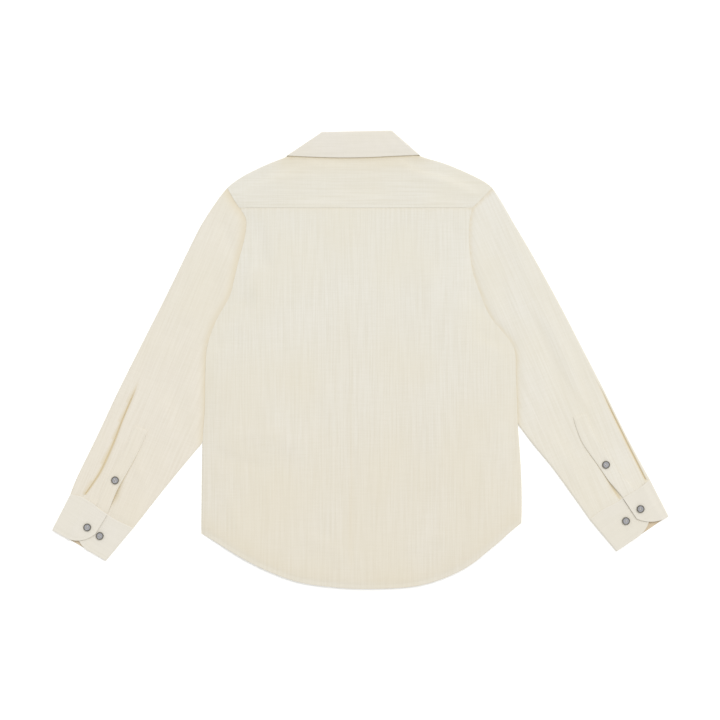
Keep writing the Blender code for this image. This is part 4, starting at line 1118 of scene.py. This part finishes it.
def addCylinder(vertices, radius, depth, location=(0, 0, 0), rotation=(0, 0, 0)):
    bpy.ops.object.select_all(action="DESELECT")
    bpy.ops.mesh.primitive_cylinder_add(vertices=vertices, radius=radius, depth=depth,
                                        location=location, rotation=rotation)
    bpy.ops.object.transform_apply(location=True, rotation=True, scale=True)
    return bpy.context.active_object


def inset(thickness):
    return lambda: bpy.ops.mesh.inset(thickness=thickness, depth=0)


def shift(z):
    return lambda: bpy.ops.transform.translate(value=(0, 0, z))


def resize(*value):
    return lambda: bpy.ops.transform.resize(value=value)


def editFaces(piece, test, *steps):
    pickOnly(piece)
    bpy.ops.object.mode_set(mode="EDIT")
    bpy.ops.mesh.select_mode(type="FACE")
    bpy.ops.mesh.select_all(action="DESELECT")
    bpy.ops.object.mode_set(mode="OBJECT")
    for polygon in piece.data.polygons:
        polygon.select = bool(test(polygon))
    bpy.ops.object.mode_set(mode="EDIT")
    for step in steps:
        step()
    bpy.ops.object.mode_set(mode="OBJECT")


def makeButton():
    top = button["thickness"]
    offset = button["holeOffset"]
    disc = addCylinder(40, button["radius"], top, (0, 0, top / 2))
    editFaces(disc, lambda f: f.normal.z > 0.9 and f.center.z > top * 0.9,
              inset(button["rimWidth"]), inset(0.0007), shift(-button["dish"]), inset(0.0008))
    editFaces(disc, lambda f: f.normal.z < -0.9, inset(0.0012), resize(0.98, 0.98, 1))
    soften = disc.modifiers.new("Soften", "BEVEL")
    soften.width = button["softened"]
    soften.segments = 2
    soften.limit_method = "ANGLE"
    soften.angle_limit = math.radians(40)
    bpy.ops.object.modifier_apply(modifier="Soften")
    for x, y in ((-1, -1), (-1, 1), (1, -1), (1, 1)):
        drill = addCylinder(14, button["holeRadius"], 0.006, (x * offset, y * offset, top / 2))
        bore = disc.modifiers.new("Hole", "BOOLEAN")
        bore.operation = "DIFFERENCE"
        bore.object = drill
        bore.solver = "EXACT"
        bpy.context.view_layer.objects.active = disc
        bpy.ops.object.modifier_apply(modifier="Hole")
        bpy.data.objects.remove(drill, do_unlink=True)
    disc.data.materials.clear()
    disc.data.materials.append(pearl)
    bars = []
    for y in (-1, 1):  # two bars of thread through the four holes
        bar = addCylinder(10, button["threadRadius"], 2.5 * offset,
                          (0, y * offset, top - button["dish"] + 0.0001), (0, math.pi / 2, 0))
        editFaces(bar, lambda f: abs(f.normal.x) > 0.9, inset(0.00012), shift(-0.0003))
        bar.data.materials.clear()
        bar.data.materials.append(thread)
        bars.append(bar)
    pickOnly(disc)
    for bar in bars:
        bar.select_set(True)
    bpy.ops.object.join()
    bpy.ops.object.shade_smooth_by_angle(angle=math.radians(35))
    rim = disc.data.attributes.new("rim", "FLOAT", "POINT")
    for k, vert in enumerate(disc.data.vertices):
        reach = math.hypot(vert.co.x, vert.co.y) / button["radius"]
        rim.data[k].value = float(ease((reach - 0.62) / 0.22))
    return disc


buttonModel = makeButton()
bpy.ops.object.select_all(action="DESELECT")
buttonNodes = sorted(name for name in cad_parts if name.startswith("button_"))
for count, node in enumerate(buttonNodes):
    low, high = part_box(node)
    mesh = buttonModel.data.copy()
    turn = Matrix.Rotation(math.radians(37 * count % 90 - 20), 4, "Z")
    if node.startswith("button_front") or node == "button_stand":
        flip = Matrix.Rotation(math.pi, 4, "X")
        turn = turn @ Matrix.Translation((0, 0, button["thickness"])) @ flip
    middle = (low + high) / 2
    mesh.transform(Matrix.Translation((middle.x, middle.y, low.z)) @ turn)
    piece = addObject(node.replace("_", "") + "Pearl", mesh)
    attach(piece, "root")
    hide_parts(node)
bpy.data.objects.remove(buttonModel, do_unlink=True)
print("buttons sewn on:", len(buttonNodes))


# Stitches, all copies of one

stitch = {
    "length": 0.0026,
    "pitch": 0.0035,
    "radius": 0.00016,
    "sink": 0.00005,
    "hemInset": 0.0055,
}


def makeStitch():
    one = addCylinder(6, stitch["radius"], stitch["length"], rotation=(0, math.pi / 2, 0))
    editFaces(one, lambda f: abs(f.normal.x) > 0.9,
              lambda: bpy.ops.mesh.extrude_region_move(), resize(1.14, 0.45, 0.45))
    return one


stitchModel = makeStitch()


def sew(sheetName, lines, fromBelow=False):
    # copies of the stitch along plan lines, laid on the outer face of a sheet
    tree = surfaces[sheetName]
    down = Vector((0, 0, 1 if fromBelow else -1))
    bm = bmesh.new()
    for line in lines:
        line = np.asarray(line)
        runs = np.concatenate([[0], np.cumsum(np.hypot(*np.diff(line, axis=0).T))])
        count = int(runs[-1] / stitch["pitch"])
        for k in range(count):
            start = (k + 0.15) * stitch["pitch"]
            ends = []
            for at in (start, start + stitch["length"]):
                x, y = (np.interp(at, runs, column) for column in line.T)
                hit, _, _, _ = tree.ray_cast(Vector((x, y, 0)) - down * 0.05, down)
                if hit is None:
                    break
                ends.append(hit + down * stitch["sink"])
            if len(ends) < 2 or abs(ends[0].z - ends[1].z) > 0.0008:
                continue
            run = ends[1] - ends[0]
            turn = run.to_track_quat("X", "Z").to_matrix().to_4x4()
            first = len(bm.verts)
            bm.from_mesh(stitchModel.data)
            bm.verts.ensure_lookup_table()
            bmesh.ops.transform(bm, matrix=Matrix.Translation((ends[0] + ends[1]) / 2) @ turn,
                                verts=bm.verts[first:])
    name = sheetName.replace("Cloth", "Stitches")
    mesh = bpy.data.meshes.new(name)
    bm.to_mesh(mesh)
    bm.free()
    for polygon in mesh.polygons:
        polygon.use_smooth = True
    piece = addObject(name, mesh)
    mesh.materials.append(thread)
    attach(piece, "root")


def cuffStitchLines(cuff):
    margin = cuffShape["edgeStitch"]
    over = [cuffPlace(cuff, a / cuff["edge"], cornerDeep(cuff, a, "over") + margin)
            for a in np.linspace(0.004, cuff["overEnd"] - margin, 40)]
    overSide = [cuffPlace(cuff, (cuff["overEnd"] - margin) / cuff["edge"], d)
                for d in np.linspace(cornerDeep(cuff, cuff["overEnd"], "over") + 0.002, 0.058, 30)]
    under = [cuffPlace(cuff, a / cuff["edge"], cornerDeep(cuff, a, "under") + margin)
             for a in np.linspace(cuff["edge"] - 0.004, cuff["overEnd"] + 0.003, 20)]
    top = [seamPoint(cuff, a, -0.0022) for a in np.linspace(0.04, 0.96, 50)]
    return [over, overSide, under, top]


sew("backCloth", [movedIn(hemLine, stitch["hemInset"])[2:-2]])
sew("yokeCloth", [movedIn(yokeLine, body["yokeStitch"])[2:-2],
                  *[movedIn(armLines[s], -s * body["armStitch"])[1:-1] for s in (-1, 1)]])
frontHem = movedIn(hemLine + np.array([0, fronts["shorter"]]), stitch["hemInset"])
half = len(frontHem) // 2
sew("frontLeftCloth", [frontHem[20:half - 4]], True)
sew("frontRightCloth", [frontHem[half + 4:-20]], True)
bandLines = [[(body["frontX"] + s * (fronts["bandHalf"] - 0.005), y)
              for y in np.linspace(-0.33, 0.238, 120)] for s in (-1, 1)]
sew("frontBandCloth", bandLines, True)
leafLine = np.array([e + (r - e) / np.hypot(*(r - e)) * collar["edgeStitch"]
                     for r, e in crossings(leafBack, 60)])[4:-4]
sew("collarLeafCloth", [leafLine])
for side, word in sideNames.items():
    sew(clothName("cuff_" + word), cuffStitchLines(sleeves[side]["cuff"]))
    plan, _ = stripRows(side, 60)
    lines = [plan[2:-2, 3], plan[2:-2, 8], np.linspace(plan[2, 3], plan[2, 8], 12)]
    sew(clothName("placket_" + word), lines)
bpy.data.objects.remove(stitchModel, do_unlink=True)
print("stitches sewn")


# Floor, light and camera

stage = {
    "floorHeight": -0.0002,
    "cameraMiddle": (-0.0006, -0.00045),
    "cameraHeight": 3.0,
    "lens": 100,
    "tableGlow": 0.18,
    "skyStrength": 0.70,
    "keyStrength": 1.33,
    "keyTurn": (-27, 19, 0),  # degrees from straight down: it comes from the upper right
    "keySpread": 36,
}


def makeStage():
    bpy.ops.object.select_all(action="DESELECT")
    bpy.ops.mesh.primitive_plane_add(size=8, location=(0, 0, stage["floorHeight"]))
    floor = bpy.context.active_object
    floor.name = "floor"
    bpy.ops.object.transform_apply(location=True, rotation=True, scale=True)
    # White acrylic light table, matt and lit a little from beneath, so shadows stay faint
    material, _, _ = newMaterial("MattAcrylicLightTable", {
        "Roughness": 0.9, "IOR": 1.49, "Base Color": hexColour("#fbfbfa"),
        "Specular IOR Level": 0.1, "Emission Color": hexColour("#ffffff"),
        "Emission Strength": stage["tableGlow"]})
    floor.data.materials.append(material)
    world = bpy.data.worlds.new("SoftRoom")
    world.use_nodes = True
    sky = world.node_tree.nodes["Background"].inputs
    sky["Color"].default_value = (1, 0.998, 0.993, 1)
    sky["Strength"].default_value = stage["skyStrength"]
    bpy.context.scene.world = world
    light = bpy.data.lights.new("farSoftBox", "SUN")
    light.energy = stage["keyStrength"]
    light.angle = math.radians(stage["keySpread"])
    lamp = addObject("farSoftBox", light)
    lamp.location = (1.5, 1.5, 3)
    lamp.rotation_euler = [math.radians(turn) for turn in stage["keyTurn"]]
    view = bpy.data.cameras.new("overhead")
    view.lens = stage["lens"]
    view.sensor_width = 36
    camera = addObject("overhead", view)
    camera.location = (*stage["cameraMiddle"], stage["cameraHeight"])
    bpy.context.scene.camera = camera
    bpy.context.scene.view_settings.view_transform = "Standard"


makeStage()
print("floor, light and camera set")
